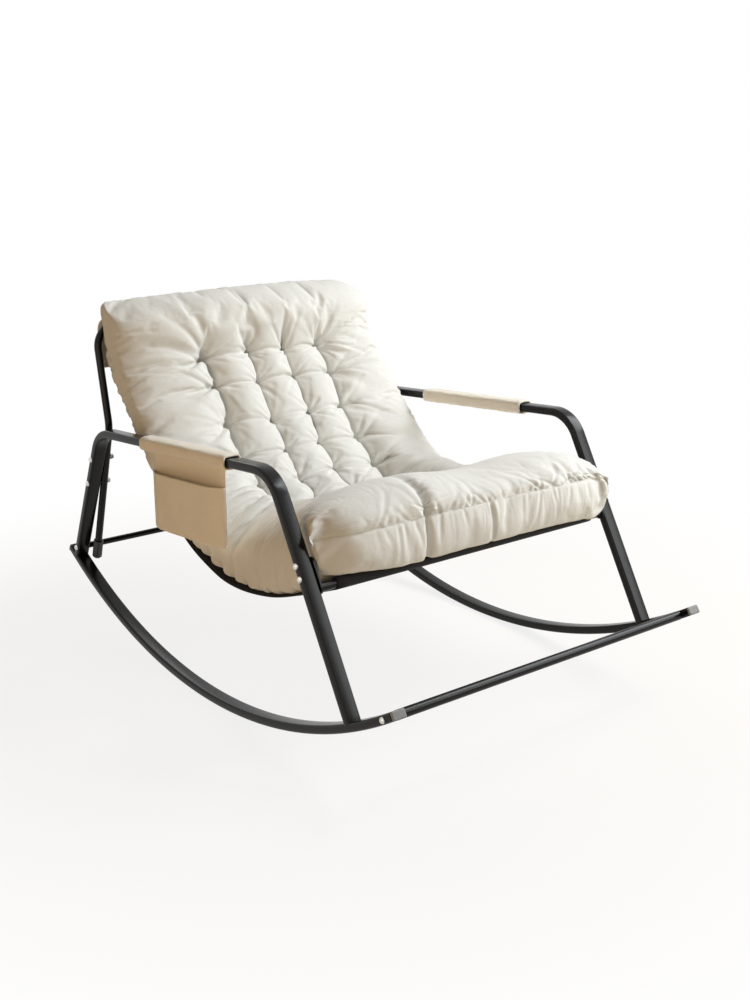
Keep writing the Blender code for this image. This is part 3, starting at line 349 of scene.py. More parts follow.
class Finish(NodeKit):
    """A Principled material with even base values; the pattern nodes are added to it."""

    def __init__(self, name, base, roughness, metallic=0.0):
        self.material = bpy.data.materials.new(name)
        self.material.use_nodes = True
        self.material.diffuse_color = (*base, 1.0)
        super().__init__(self.material.node_tree)
        self.shader = self.nodes["Principled BSDF"]
        self.coat({"Base Color": (*base, 1.0), "Roughness": roughness, "Metallic": metallic})

    def coat(self, inputs):
        for socket, value in inputs.items():
            self.join(value, self.shader.inputs[socket])


def grained_material(name, colour, roughness, metallic, tone, gloss, grain, specular):
    """A coated, plated or moulded skin: uneven tone and gloss over a fine grain."""
    finish = Finish(name, colour, roughness, metallic)
    place = finish.place()
    finish.coat({
        "Base Color": finish.tones(finish.noise(place, *tone[:2]), colour, *tone[2:]),
        "Roughness": finish.between(finish.noise(place, *gloss[:2]), *gloss[2:]),
        "Normal": finish.bump(finish.noise(place, *grain[:2]), *grain[2:]),
        "Specular IOR Level": specular,
    })
    return finish.material


def pad_gathers(kit):
    """Fine gathers of the pad's cover: across its side rolls, and up and down at its front and its head."""
    spot = kit.nodes.new("ShaderNodeSeparateXYZ")
    kit.join(kit.place("UV"), spot.inputs["Vector"])
    across, along = spot.outputs["X"], spot.outputs["Y"]
    side = kit.band(kit.work("ABSOLUTE", kit.work("SUBTRACT", across, MAP_MIDDLE)), 0.14, 0.19)
    front = kit.band(along, MAP_END - 0.17, MAP_END - 0.08)
    head = kit.band(kit.work("MULTIPLY", along, -1.0), -0.12, -0.02)
    crosswise = kit.ridges(kit.place("UV", (8.0, 52.0, 1.0)), 0.7)
    lengthwise = kit.ridges(kit.place("UV", (46.0, 9.0, 1.0)), 0.9)
    patches = kit.band(kit.noise(kit.place("UV"), 17.0, 1.0), 0.36, 0.62)
    ends = kit.work("MAXIMUM", kit.work("MULTIPLY", front, 0.55), kit.work("MULTIPLY", head, 0.3))
    sides = kit.work("MULTIPLY", side, kit.work("SUBTRACT", 1.0, ends))
    lines = kit.work("ADD", kit.work("MULTIPLY", sides, crosswise), kit.work("MULTIPLY", ends, lengthwise))
    return kit.work("MULTIPLY", kit.work("MULTIPLY", lines, patches), -1.0)


def woven_material(name, colour, thread, crease, roughness, sheen, slub, gathers=None):
    """Woven cloth on the piece's own UV map in metres: crossing threads, slubs and soft creases."""
    finish = Finish(name, colour, roughness)
    place = finish.place("UV")
    weave = finish.work("MULTIPLY", finish.threads(place, "X", thread), finish.threads(place, "Y", thread))
    slubs = finish.noise(finish.place("UV", (9.0, 160.0, 1.0)), 4.0)
    cloud = finish.noise(place, 14.0, 4.0, 0.55)
    tone = finish.work("ADD", finish.work("MULTIPLY", cloud, 0.6), finish.work("MULTIPLY", slubs, 0.4))
    creased = finish.bump(finish.noise(place, 46.0, 3.0, 0.55, 0.9), crease)
    if gathers:
        creased = finish.bump(gathers(finish), GATHER_DEPTH, 1.0, creased)
    finish.coat({
        "Base Color": finish.tones(tone, colour, 1 - slub, 1 + slub * 0.6),
        "Normal": finish.bump(weave, thread * 0.22, 0.55, creased),
        "Sheen Weight": sheen, "Sheen Roughness": 0.45, "Specular IOR Level": 0.22,
    })
    return finish.material


def finish_for(name, maker, *values):
    """One material of each name."""
    return bpy.data.materials.get(name) or maker(name, *values)


def black_steel():
    return finish_for("powder_coat_black", grained_material, colours().steel, *POWDER_COAT)


def pad_cotton():
    return finish_for("pad_cotton", woven_material, colours().pad, *COTTON, pad_gathers)


def sleeve_canvas():
    return finish_for("sleeve_canvas", woven_material, colours().sleeve, *CANVAS)


def sling_cloth():
    return finish_for("sling_cloth", woven_material, colours().sling, *SLING_WEAVE)


# Making pieces

def finished(name, bm, material, smooth_angle=40.0):
    """The bmesh as an object at the origin that rides on the chair."""
    mesh = bpy.data.meshes.new(name)
    bm.to_mesh(mesh)
    bm.free()
    mesh.materials.append(material)
    mesh.shade_smooth()
    mesh.set_sharp_from_angle(angle=math.radians(smooth_angle))
    piece = bpy.data.objects.new(name, mesh)
    bpy.context.scene.collection.objects.link(piece)
    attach(piece, "root")
    return piece


def mesh_values(items, name, size=1, kind=np.float32):
    """One value or vector of all vertices, loops or other items, as an array."""
    values = np.empty(len(items) * size, kind)
    items.foreach_get(name, values)
    return values.reshape(-1, size) if size > 1 else values


def add_modifier(piece, kind, **values):
    modifier = piece.modifiers.new(kind.lower(), kind)
    for key, value in values.items():
        setattr(modifier, key, value)


def round_outline(bm, radius, sides=28):
    made = bmesh.ops.create_circle(bm, cap_ends=False, radius=radius, segments=sides)
    return list({edge for vertex in made["verts"] for edge in vertex.link_edges})


def flat_tube_outline(bm):
    """The outline of the flat tube, from a rectangle with rounded corners."""
    s = steel_sizes()
    bmesh.ops.create_grid(bm, x_segments=1, y_segments=1, size=0.5)
    bmesh.ops.scale(bm, vec=(s.tube_width, s.tube_depth, 1), verts=bm.verts)
    bmesh.ops.bevel(bm, geom=bm.verts[:], offset=s.tube_corner, segments=5, profile=0.5, affect="VERTICES",
                    material=-1)
    bmesh.ops.delete(bm, geom=bm.faces[:], context="FACES_ONLY")
    return bm.edges[:]


def stations(path, across):
    """A frame at each point of the path: x starts along across, z runs along the path."""
    path = [Vector(p) for p in path]
    frames = []
    side = Vector(across)
    for k, here in enumerate(path):
        along = (path[min(k + 1, len(path) - 1)] - path[max(k - 1, 0)]).normalized()
        side = (side - along * side.dot(along)).normalized()
        made = Matrix((side, along.cross(side), along)).transposed().to_4x4()
        made.translation = here
        frames.append(made)
    return frames


def sweep_outline(bm, edges, frames):
    """Draws an outline along a row of frames and closes both ends."""
    ring = list({vertex for edge in edges for vertex in edge.verts})
    bmesh.ops.transform(bm, matrix=frames[0], verts=ring)
    first = edges
    for before, after in zip(frames, frames[1:]):
        made = bmesh.ops.extrude_edge_only(bm, edges=edges)["geom"]
        ring = [item for item in made if isinstance(item, bmesh.types.BMVert)]
        edges = [e for e in made if isinstance(e, bmesh.types.BMEdge) and all(v in ring for v in e.verts)]
        bmesh.ops.transform(bm, matrix=after @ before.inverted(), verts=ring)
    for end in (first, edges):
        bmesh.ops.edgeloop_fill(bm, edges=end)
    bmesh.ops.recalc_face_normals(bm, faces=bm.faces)


def round_bar(name, path, radius, material, across=(0, 1, 0)):
    bm = bmesh.new()
    sweep_outline(bm, round_outline(bm, radius), stations(path, across))
    return finished(name, bm, material)


# How far a foot of a hoop stands in its rocker, as a share of the tube, and the bend of a back post
FOOT_IN_ROCKER = 0.75
POST_BEND = 0.060


class CHAIR_OT_rockers(Operator):
    """Rolls the two rockers from flat tube in one smooth arc"""
    bl_idname = "chair.rockers"
    bl_label = "Rockers"

    def execute(self, context):
        s = steel_sizes()
        middle_radius = s.rocker_radius - s.tube_depth / 2
        start = math.asin(s.rocker_front / middle_radius)
        end = math.asin(s.rocker_rear / middle_radius)
        hub = Vector((0, 0, s.rocker_radius))
        for side, sign in SIDES:
            bm = bmesh.new()
            edges = flat_tube_outline(bm)
            bmesh.ops.rotate(bm, cent=(0, 0, 0), matrix=Matrix.Rotation(math.pi / 2, 3, "X"), verts=bm.verts)
            bmesh.ops.translate(bm, vec=(sign * s.half_width, 0, s.tube_depth / 2), verts=bm.verts)
            bmesh.ops.rotate(bm, cent=hub, matrix=Matrix.Rotation(start, 3, "X"), verts=bm.verts)
            bmesh.ops.spin(bm, geom=edges, cent=hub, axis=(1, 0, 0), angle=end - start, steps=96)
            bmesh.ops.edgenet_fill(bm, edges=[e for e in bm.edges if e.is_boundary])
            bmesh.ops.recalc_face_normals(bm, faces=bm.faces)
            rocker = finished(f"rocker_arc_{side}", bm, black_steel())
            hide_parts(f"rocker_{side}")
        return {"FINISHED"}


class CHAIR_OT_hoops(Operator):
    """Bends each side hoop, front leg, arm and rear leg, from one flat tube"""
    bl_idname = "chair.hoops"
    bl_label = "Side Hoops"

    def execute(self, context):
        s = steel_sizes()
        front = arm_corner(s.front_leg_floor, s.front_leg_lean)
        rear = arm_corner(s.rear_leg_floor, -s.rear_leg_lean)
        hub = Vector((0, s.rocker_radius))
        feet = []
        for floor_y, corner in ((s.front_leg_floor, front), (s.rear_leg_floor, rear)):
            along = (Vector((floor_y, 0)) - corner).normalized()
            from_hub = corner - hub
            reach = from_hub.dot(along)
            radius = s.rocker_radius - s.tube_depth * FOOT_IN_ROCKER
            feet.append(corner + along * (math.sqrt(reach ** 2 - from_hub.length_squared + radius ** 2) - reach))
        line = rounded_path([feet[0], front, rear, feet[1]], s.arm_bend, 20)
        for side, sign in SIDES:
            bm = bmesh.new()
            path = [side_point(sign * s.half_width, p) for p in line]
            sweep_outline(bm, flat_tube_outline(bm), stations(path, (1, 0, 0)))
            hoop = finished(f"side_hoop_{side}", bm, black_steel())
            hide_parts(f"hoop_{side}")
        return {"FINISHED"}


class CHAIR_OT_tubes(Operator):
    """Draws the round tubes: cross tubes, seat tube, back posts and the bow"""
    bl_idname = "chair.tubes"
    bl_label = "Round Tubes"

    def execute(self, context):
        s = steel_sizes()
        for node in ("front_cross_tube", "rear_cross_tube", "seat_front_tube"):
            middle, size = box_middle(node), box_size(node)
            reach = Vector((size[0] / 2, 0, 0))
            tube = round_bar(f"{node}_round", [middle - reach, middle + reach], size[2] / 2, black_steel())
            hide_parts(node)
        foot = (post_y(s.post_foot), s.post_foot)
        kink = (s.post_kink_y, s.post_kink_z)
        top = (post_y(s.post_top), s.post_top)
        line = rounded_path([foot, kink, top], POST_BEND, 14)
        for side, sign in SIDES:
            path = [side_point(sign * s.post_side, p) for p in line]
            post = round_bar(f"back_post_bent_{side}", path, s.post_radius, black_steel(), (1, 0, 0))
            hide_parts(f"back_post_{side}")
        shoulder = side_point(s.post_side, top)
        corner = side_point(s.post_side, (post_y(s.bow_top), s.bow_top))
        mirror = Vector((-1, 1, 1))
        path = rounded_path([shoulder, corner, corner * mirror, shoulder * mirror], s.bow_bend, 18)
        bow = round_bar("back_bow_bent", path, s.post_radius, black_steel(), (1, 0, 0))
        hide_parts("back_top_bow")
        return {"FINISHED"}


class CHAIR_OT_fittings(Operator):
    """Gives the bolts, nuts, screws, plates, caps and plugs their finishes"""
    bl_idname = "chair.fittings"
    bl_label = "Fittings"

    def execute(self, context):
        c = colours()
        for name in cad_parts:
            item = bpy.data.objects.get(name)
            if item is None:
                raise RuntimeError(f"the solid {name} is missing")
            if "bolt" in name or "nut" in name or "screw" in name:
                finish = finish_for("zinc_plate", grained_material, c.zinc, *ZINC_PLATE)
            elif "plug" in name:
                finish = finish_for("plug_plastic", grained_material, c.plug, *MOULDED)
            elif "cap" in name:
                finish = finish_for("cap_plastic", grained_material, c.cap, *MOULDED)
            else:
                finish = black_steel()
            for slot in item.material_slots:
                slot.material = finish
        return {"FINISHED"}


# Sling

SLING_SEAT = (
    (0.304, 0.441), (0.234, 0.358), (0.139, 0.260), (0.040, 0.2155),
    (-0.040, 0.2045), (-0.140, 0.2175), (-0.230, 0.247),
)
CLOTH = 0.0025
GAP = 0.0003
HEM_TURN, HEM_STEPS = math.radians(300.0), 20
SLING_BACK_Z = 0.525


def seat_tube():
    middle = box_middle("seat_front_tube")
    return Vector((middle[1], middle[2]))


def sling_lines():
    """Side view of the sling's middle: hem round the bow, points of the hanging part, front hem."""
    s = steel_sizes()
    top_radius = s.post_radius + GAP + CLOTH / 2
    front_radius = box_size("seat_front_tube")[2] / 2 + GAP + CLOTH / 2
    bow = Vector((post_y(s.bow_top), s.bow_top))
    top_hem = arc_points(bow, top_radius, math.pi - s.post_upper_lean - HEM_TURN, HEM_TURN, HEM_STEPS)
    fold = Vector((post_y(SLING_BACK_Z) - top_radius / math.cos(s.post_upper_lean), SLING_BACK_Z))
    tube = seat_tube()
    run = tube - Vector(SLING_SEAT[-1])
    front_hem = arc_points(tube, front_radius, math.atan2(run[0], -run[1]), -HEM_TURN, HEM_STEPS)
    hanging = [top_hem[-1], fold] + [Vector(p) for p in SLING_SEAT] + [front_hem[0]]
    return top_hem, hanging, front_hem


def sling_half_width(y, z):
    c = cloth_sizes()
    back_y = post_y(SLING_BACK_Z)
    if z > SLING_BACK_Z:
        up = min(1.0, (z - SLING_BACK_Z) / (steel_sizes().bow_top - SLING_BACK_Z))
        return c.sling_back + (c.sling_top - c.sling_back) * up
    down = (back_y - y) / (back_y - seat_tube()[0])
    return c.sling_back + (c.sling_front - c.sling_back) * min(1.0, max(0.0, down))


def line_lengths(line):
    reach = [0.0]
    for a, b in zip(line, line[1:]):
        reach.append(reach[-1] + (b - a).length)
    return reach


def line_at(line, reach, distance):
    distance = min(max(distance, 0.0), reach[-1])
    k = next(k for k, r in enumerate(reach[1:]) if r >= distance - 1e-9)
    return line[k].lerp(line[k + 1], (distance - reach[k]) / (reach[k + 1] - reach[k]))


def grid_cloth(name, columns, rows, width, length, place, material, thickness):
    """A grid of cloth with a UV map in metres; place(u, v) puts each point, u from -1 to 1, v from 0 to 1."""
    bm = bmesh.new()
    bm.loops.layers.uv.verify()
    bmesh.ops.create_grid(bm, x_segments=columns, y_segments=rows, size=1.0, calc_uvs=True)
    for vertex in bm.verts:
        vertex.co = place(vertex.co.x, (vertex.co.y + 1) / 2)
    piece = finished(name, bm, material, 70.0)
    scale_map(piece.data, width, length)
    add_modifier(piece, "SOLIDIFY", thickness=thickness, offset=0.0, use_even_offset=True)
    return piece


def scale_map(mesh, width, length):
    """Brings a UV map from shares of the cloth to metres."""
    layer = mesh.uv_layers[0].uv
    values = mesh_values(layer, "vector", 2) * np.array((width, length), np.float32)
    layer.foreach_set("vector", values.ravel())


def apply_modifiers(piece):
    """Makes the modifiers part of the mesh."""
    graph = bpy.context.evaluated_depsgraph_get()
    mesh = bpy.data.meshes.new_from_object(piece.evaluated_get(graph))
    piece.modifiers.clear()
    piece.data = mesh


class CHAIR_OT_sling(Operator):
    """Hangs the black sling between the bow and the seat tube, with a hem round each"""
    bl_idname = "chair.sling"
    bl_label = "Sling"

    def execute(self, context):
        c = cloth_sizes()
        top_hem, hanging, front_hem = sling_lines()
        line = top_hem[:-1] + smooth_through(hanging, 10) + front_hem[1:]
        reach = line_lengths(line)

        def place(u, v):
            here = line_at(line, reach, v * reach[-1])
            half = sling_half_width(here[0], here[1])
            return side_point(u * half, here)

        width = 2 * c.sling_back
        sling = grid_cloth("sling_cloth_sheet", 40, 340, width, reach[-1], place, sling_cloth(), c.sling_thickness)
        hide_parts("sling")
        return {"FINISHED"}


# Pad

PAD_FACE = ((-0.346, 0.335), (-0.341, 0.367))
PAD_CROWN = (
    (0.352, 0.664), (0.276, 0.634), (0.268, 0.566), (0.231, 0.500), (0.166, 0.415),
    (0.094, 0.342), (0.018, 0.318), (-0.045, 0.320), (-0.130, 0.362), (-0.225, 0.408),
    (-0.290, 0.411), (-0.330, 0.399), (-0.343, 0.383), (-0.341, 0.367),
)
PAD_STEPS = 10
PAD_AIR = 0.0012
PAD_SEAM_LOW, PAD_SEAM_HIGH = 0.36, 0.62
PAD_SEAM_RISE = (0.780, 0.940)
PAD_HEAD_ROUND = 0.085
PAD_FRONT_FACE = 0.078
HEAD_CORNER_LEFT, HEAD_CORNER_RIGHT = 0.085, 0.030
HEAD_SLIM, HEAD_SLIM_REACH = 0.034, 0.26
TUFT_REACH = 0.011
SEWN_LINE = 0.0034
CREASE_X = -0.106
REST_SHARE = 1.42
SEAM_PIN, TUFT_PIN = 0.9, 0.95
SWELL_FRAMES = 20
COVER_CLOTH = {
    "quality": 6, "mass": 0.25, "tension_stiffness": 12.0, "compression_stiffness": 12.0, "shear_stiffness": 4.0,
    "bending_stiffness": 0.05, "use_pressure": True, "vertex_group_mass": "sewn",
}
FRAME_AIR, PLATE_AIR = 0.0045, 0.007
SIDE_SOFT, SIDE_SWELL = 0.010, 0.030
# Single folds from tufts of the first rows: column, row, direction across and along, depth and reach
CORNER_FOLDS = (
    (0, 0, -0.75, -1, 0.011, 0.11), (0, 0, -0.25, -1, 0.007, 0.09), (0, 0, -1.0, -0.3, 0.008, 0.11),
    (-1, 0, 1.0, -0.32, 0.012, 0.12), (-1, 1, 1.0, -0.25, 0.009, 0.12), (-1, 0, 0.6, -1, 0.006, 0.08),
)
# Folds of the right flank, before and after the swelling: place along the pad and depth
FLANK_FOLDS = ((0.585, 0.018), (0.625, 0.024), (0.670, 0.018))
SMALL_FLANK_FOLDS = ((0.640, 0.0130), (0.676, 0.0180), (0.712, 0.0210), (0.752, 0.0130))
# Folds of the head roll: place across and along, lean, depth and reach
HEAD_FOLDS = (
    (-0.15, 0.120, -0.9, 0.0040, 0.075), (-0.05, 0.128, -0.5, 0.0030, 0.060),
    (0.06, 0.130, 0.4, 0.0028, 0.055), (0.15, 0.120, 0.8, 0.0040, 0.080),
)


def pad_under():
    """Dense side view of the pad's underside: up the bow, down the sling and over the front hem."""
    p = pad_sizes()
    hanging = sling_lines()[1]
    line = smooth_through(hanging, PAD_STEPS)[:(len(hanging) - 2) * PAD_STEPS + 1]
    lifted = []
    for k, here in enumerate(line):
        along = (line[min(k + 1, len(line) - 1)] - line[max(k - 1, 0)]).normalized()
        lifted.append(here + Vector((along[1], -along[0])) * (CLOTH / 2 + PAD_AIR))
    head = lifted[0] + (lifted[0] - lifted[PAD_STEPS]).normalized() * p.above_bow
    above = [head.lerp(lifted[0], k / PAD_STEPS) for k in range(PAD_STEPS)]
    tube = seat_tube()
    hem_top = tube[1] + box_size("seat_front_tube")[2] / 2 + CLOTH + 3 * GAP
    lip = [Vector((tube[0] + p.lip, hem_top)), Vector((tube[0] - p.lip, hem_top))]
    over_hem = smooth_through([lifted[-1]] + lip + [Vector(q) for q in PAD_FACE], PAD_STEPS)
    return above + lifted + over_hem[1:]


def soft_step(share):
    """From 0 to 1 with a soft start and end, for arrays."""
    share = np.clip(share, 0, 1)
    return share ** 2 * (3 - 2 * share)


def bell(off, wide):
    """1 in the middle, with a soft fall to both sides, for arrays."""
    return np.exp(-(off / wide) ** 2)


class PadForm:
    """Where each point of the pad's cover lies before the stuffing swells it, as arrays over its grid."""

    def __init__(self):
        p = self.size = pad_sizes()
        under = pad_under()
        crown = smooth_through(PAD_CROWN, PAD_STEPS)
        reach = line_lengths(under)
        self.end = reach[-1]
        self.columns = [p.column * k for k in (-1.5, -0.5, 0.5, 1.5)]
        self.rows = [p.first_row + p.row * k for k in range(p.rows)]
        cell = p.column / p.cells
        self.side_cells = math.ceil(p.seat_half / cell)
        self.half = self.side_cells * cell
        last = self.rows[-1]
        self.across = np.arange(-self.side_cells, self.side_cells + 1) * cell
        self.along = np.concatenate([np.linspace(0, p.first_row, round(p.first_row / cell) + 1)[:-1],
                                     np.linspace(p.first_row, last, round(p.row / cell) * (p.rows - 1) + 1)[:-1],
                                     np.linspace(last, self.end, round((self.end - last) / cell) + 1)])
        self.chance = np.random.default_rng(41)
        self.x, self.s = np.meshgrid(self.across, self.along)
        self.place_x, self.place_s = self.unevenly_sewn()
        self.base = self.side_view(under, reach)
        self.top = self.side_view(crown, reach)
        self.thick = np.linalg.norm(self.top - self.base, axis=2)
        self.up = (self.top - self.base) / np.maximum(self.thick, 1e-6)[..., None]

    def unevenly_sewn(self):
        """The grid with each tuft, and the cloth round it, a little off its even place."""
        x, s = self.x.copy(), self.s.copy()
        for column in self.columns:
            for row in self.rows:
                near = bell(self.x - column, 0.034) * bell(self.s - row, 0.034)
                x += near * self.chance.normal(0, 0.0035)
                s += near * self.chance.normal(0, 0.0040)
                between = bell(self.x - column, 0.026) * bell(self.s - row - self.size.row / 2, 0.026)
                x += between * self.chance.normal(0.0045, 0.0030)
        return x, s

    def side_view(self, line, reach):
        """A side view line at each point of the grid, as y and z."""
        return np.stack([np.interp(self.place_s, reach, [q[k] for q in line]) for k in (0, 1)], axis=2)

    def seam_share(self):
        """Height of the edge seam as a share of the thickness; it climbs towards the front."""
        low, high = PAD_SEAM_RISE
        return PAD_SEAM_LOW + (PAD_SEAM_HIGH - PAD_SEAM_LOW) * soft_step((self.s - low) / (high - low))

    def half_width(self):
        """Half width along the pad; the head's left corner is worn rounder than its right one."""
        p = self.size
        down = self.s / self.end
        half = p.head_half + (p.seat_half - p.head_half) * down - p.waist * np.sin(np.pi * down)
        left = self.x > 0
        corner = np.where(left, HEAD_CORNER_LEFT, HEAD_CORNER_RIGHT)
        inward = np.clip(1 - self.s / corner, 0, 1)
        half -= corner * (1 - np.sqrt(1 - inward ** 2)) * 0.7
        flare = p.front_flare * soft_step((self.s - self.end + 0.100) / 0.050)
        return half + np.where(left, -HEAD_SLIM * bell(self.s, HEAD_SLIM_REACH), flare)

    def off_tufts(self, x, s):
        """Distance from the nearest column, with its sign, and row of tufts, and past the outer ones."""
        side = x - np.array(self.columns)[np.argmin([np.abs(x - c) for c in self.columns], axis=0)]
        off_row = np.min([np.abs(s - r) for r in self.rows], axis=0)
        past_columns = np.maximum(0, np.abs(x) - self.columns[-1])
        past_rows = np.maximum(0, np.maximum(self.rows[0] - s, s - self.rows[-1]))
        return side, off_row, past_columns, past_rows

    def sink(self):
        """How far the tufts, and the valleys and folds between them, draw the cover in."""
        p = self.size
        side, off_row, past_columns, past_rows = self.off_tufts(self.x, self.s)

        def round_side(off, half):
            return 1 - np.sqrt(1 - (1 - np.clip(off / half, 0, 1)) ** 2)

        valley = round_side(np.abs(side), np.where(past_columns > 0, 0.060, p.column / 2)) * bell(past_rows, 0.034)
        fold = round_side(off_row, np.where(past_rows > 0, 0.055, p.row / 2)) * bell(past_columns, 0.016)
        fold *= 0.40 + 0.60 * bell(side, 0.020)
        tuft = bell(side, TUFT_REACH) * bell(off_row, TUFT_REACH)
        inside = bell(past_rows, 0.04) * bell(past_columns, 0.04)
        drawn = np.maximum(p.valley_depth * valley, p.fold_depth * fold)
        return drawn + p.tuft_depth * tuft + p.field_drop * inside

    def ray(self, x, s, dx, ds, depth, reach, wide):
        """A fold from a point across and along the pad; its depth and its reach are drawn between limits."""
        return x, s, dx, ds, self.chance.uniform(*depth), self.chance.uniform(*reach), wide

    def folds(self):
        """Folds that run out from the tufts and in from the seams, each a crease between two soft ridges."""
        normal = self.chance.normal
        rays = []
        for sign in (-1, 1):
            for s in self.rows:
                for lean in (-0.45, 0.10, 0.55):
                    rays.append(self.ray(sign * self.columns[-1], s, sign, lean + normal(0, 0.18),
                                         (0.006, 0.0110), (0.06, 0.13), 0.006))
            for s in np.arange(0.09, self.end, 0.036):
                rays.append(self.ray(sign * self.half, s + normal(0, 0.008), -sign, normal(0, 0.25),
                                     (0.002, 0.0045), (0.03, 0.07), 0.006))
        for x in self.columns:
            for lean in (-0.55, 0.0, 0.5):
                rays.append(self.ray(x, self.rows[0], lean + normal(0, 0.15), -1,
                                     (0.0015, 0.0035), (0.03, 0.06), 0.007))
                rays.append(self.ray(x, self.rows[-1], lean + normal(0, 0.15), 1,
                                     (0.003, 0.005), (0.05, 0.09), 0.007))
            for s in self.rows:
                for angle in np.arange(0, 6.2, 2 * np.pi / 7):
                    angle += normal(0, 0.2)
                    rays.append(self.ray(x, s, math.cos(angle), math.sin(angle),
                                         (0.0015, 0.0035), (0.018, 0.030), 0.0045))
        for x in np.arange(-self.half + 0.01, self.half, 0.021):
            rays.append(self.ray(x + normal(0, 0.005), self.end, normal(0, 0.3), -1,
                                 (0.001, 0.0035), (0.03, 0.085), 0.0055))
        rays.append((CREASE_X, self.end, 0.04, -1, 0.019, 0.13, 0.006))
        for column, row, dx, ds, depth, reach in CORNER_FOLDS:
            rays.append((self.columns[column], self.rows[row], dx, ds, depth, reach, 0.006))
        return self.creased(rays, self.x, self.s)

    def under_folds(self):
        """Folds of the lower cover: down the front face and round the flanks."""
        normal = self.chance.normal
        rays = []
        for x in np.arange(-self.half + 0.01, self.half, 0.024):
            rays.append(self.ray(x + normal(0, 0.006), self.end, normal(0, 0.15), -1,
                                 (0.001, 0.004), (0.035, 0.070), 0.007))
        for sign in (-1, 1):
            for s in np.arange(0.10, self.end - 0.03, 0.030):
                rays.append(self.ray(sign * self.half, s + normal(0, 0.008), -sign, normal(0, 0.3),
                                     (0.006, 0.013), (0.03, 0.06), 0.006))
        for s, depth in FLANK_FOLDS:
            rays.append((-self.half, s, 1, 0.35, depth, 0.05, 0.008))
        rays.append((CREASE_X, self.end, 0.0, -1, 0.015, 0.08, 0.005))
        return self.creased(rays, self.x, self.s)

    def small_folds(self):
        """Small folds of the swollen cover, above and below the seam: round the tufts and in from the seams."""
        r = self.chance
        above, below = [], []
        for x in self.columns:
            for s in self.rows:
                for k in range(11):
                    angle = 2 * math.pi * (k + r.uniform(-0.4, 0.4)) / 11
                    above.append(self.ray(x, s, math.cos(angle), math.sin(angle),
                                          (0.0016, 0.0082), (0.018, 0.050), 0.0031))
        for sign in (-1, 1):
            for s in self.rows:
                for lean in (-0.6, -0.2, 0.2, 0.6):
                    above.append(self.ray(sign * (self.columns[-1] + r.uniform(0.0, 0.03)), s, sign,
                                          lean + r.normal(0, 0.2), (0.0020, 0.0068), (0.035, 0.100), 0.0034))
            for s in np.arange(0.06, self.end - 0.03, 0.015):
                above.append(self.ray(sign * self.half, s + r.normal(0, 0.006), -sign, r.normal(0, 0.3),
                                      (0.0008, 0.0034), (0.025, 0.095), 0.0028))
                below.append(self.ray(sign * self.half, s + r.normal(0, 0.006), -sign, r.normal(0, 0.4),
                                      (0.0010, 0.0034), (0.020, 0.055), 0.0030))
        for x in np.arange(-self.half, self.half, 0.0105):
            at = x + r.normal(0, 0.0035)
            above.append((at, self.end, r.normal(0, 0.35), -1, r.choice((0.0008, 0.0022, 0.0044, 0.0070)),
                          r.uniform(0.015, 0.085), 0.0032))
            below.append((at, self.end, r.normal(0, 0.25), -1, r.choice((0.0002, 0.0008, 0.0016, 0.0036)),
                          r.uniform(0.015, 0.055), 0.0032))
        above.append((CREASE_X, self.end, 0.06, -1, 0.0125, 0.150, 0.0036))
        below.append((CREASE_X, self.end, -0.04, -1, 0.0115, 0.070, 0.0036))
        below.append((0.022, self.end, 0.06, -1, 0.0110, 0.055, 0.0036))
        for s, depth in SMALL_FLANK_FOLDS:
            below.append((-self.half, s, 1, -0.35, depth, 0.050, 0.0070))
            above.append((-self.half, s + 0.012, 1, 0.35, depth * 0.4, 0.040, 0.0060))
        for k in range(10):
            above.append(self.ray(CREASE_X + r.normal(0, 0.004), self.end - r.uniform(0.01, 0.16),
                                  r.choice((-1, 1)), r.normal(0, 0.5), (0.0016, 0.0036), (0.015, 0.045), 0.0028))
        for x, s, lean, depth, reach in HEAD_FOLDS:
            above.append((x, s, lean, -1, depth, reach, 0.0040))
        return above, below

    def smooth_spots(self, x, s):
        """0 in the tufts and at the near front corner, where the cover has no folds, and 1 elsewhere."""
        side, off_row = self.off_tufts(x, s)[:2]
        corner = soft_step((-x - 0.16) / 0.06) * soft_step((s - self.end + 0.18) / 0.05)
        return (1 - bell(side, TUFT_REACH) * bell(off_row, TUFT_REACH)) * (1 - 0.9 * corner)

    def at_points(self, values, x, s):
        """Values of the grid at points given across and along the pad."""
        i = np.clip((x - self.across[0]) / (self.across[1] - self.across[0]), 0, len(self.across) - 1.001)
        j = np.clip(np.interp(s, self.along, np.arange(len(self.along))), 0, len(self.along) - 1.001)
        a, b = i.astype(int), j.astype(int)
        i, j = (i - a)[:, None], (j - b)[:, None]
        return ((values[b, a] * (1 - i) + values[b, a + 1] * i) * (1 - j)
                + (values[b + 1, a] * (1 - i) + values[b + 1, a + 1] * i) * j)

    def creased(self, rays, at_x, at_s, spread=0.10):
        """The depth of all folds at points given across and along the pad; each fold widens by the spread."""
        total = np.zeros_like(at_x)
        for x, s, dx, ds, depth, length, wide in rays:
            size = math.hypot(dx, ds)
            dx, ds = dx / size, ds / size
            t = (at_x - x) * dx + (at_s - s) * ds
            n = (at_s - s) * dx - (at_x - x) * ds
            q = (n / (wide + spread * np.maximum(t, 0))) ** 2
            reach = bell(np.maximum(t, 0), length) * bell(np.minimum(t, 0), 0.006)
            total -= depth * reach * (np.exp(-q) - 0.40 * np.exp(-q / 4))
        return total

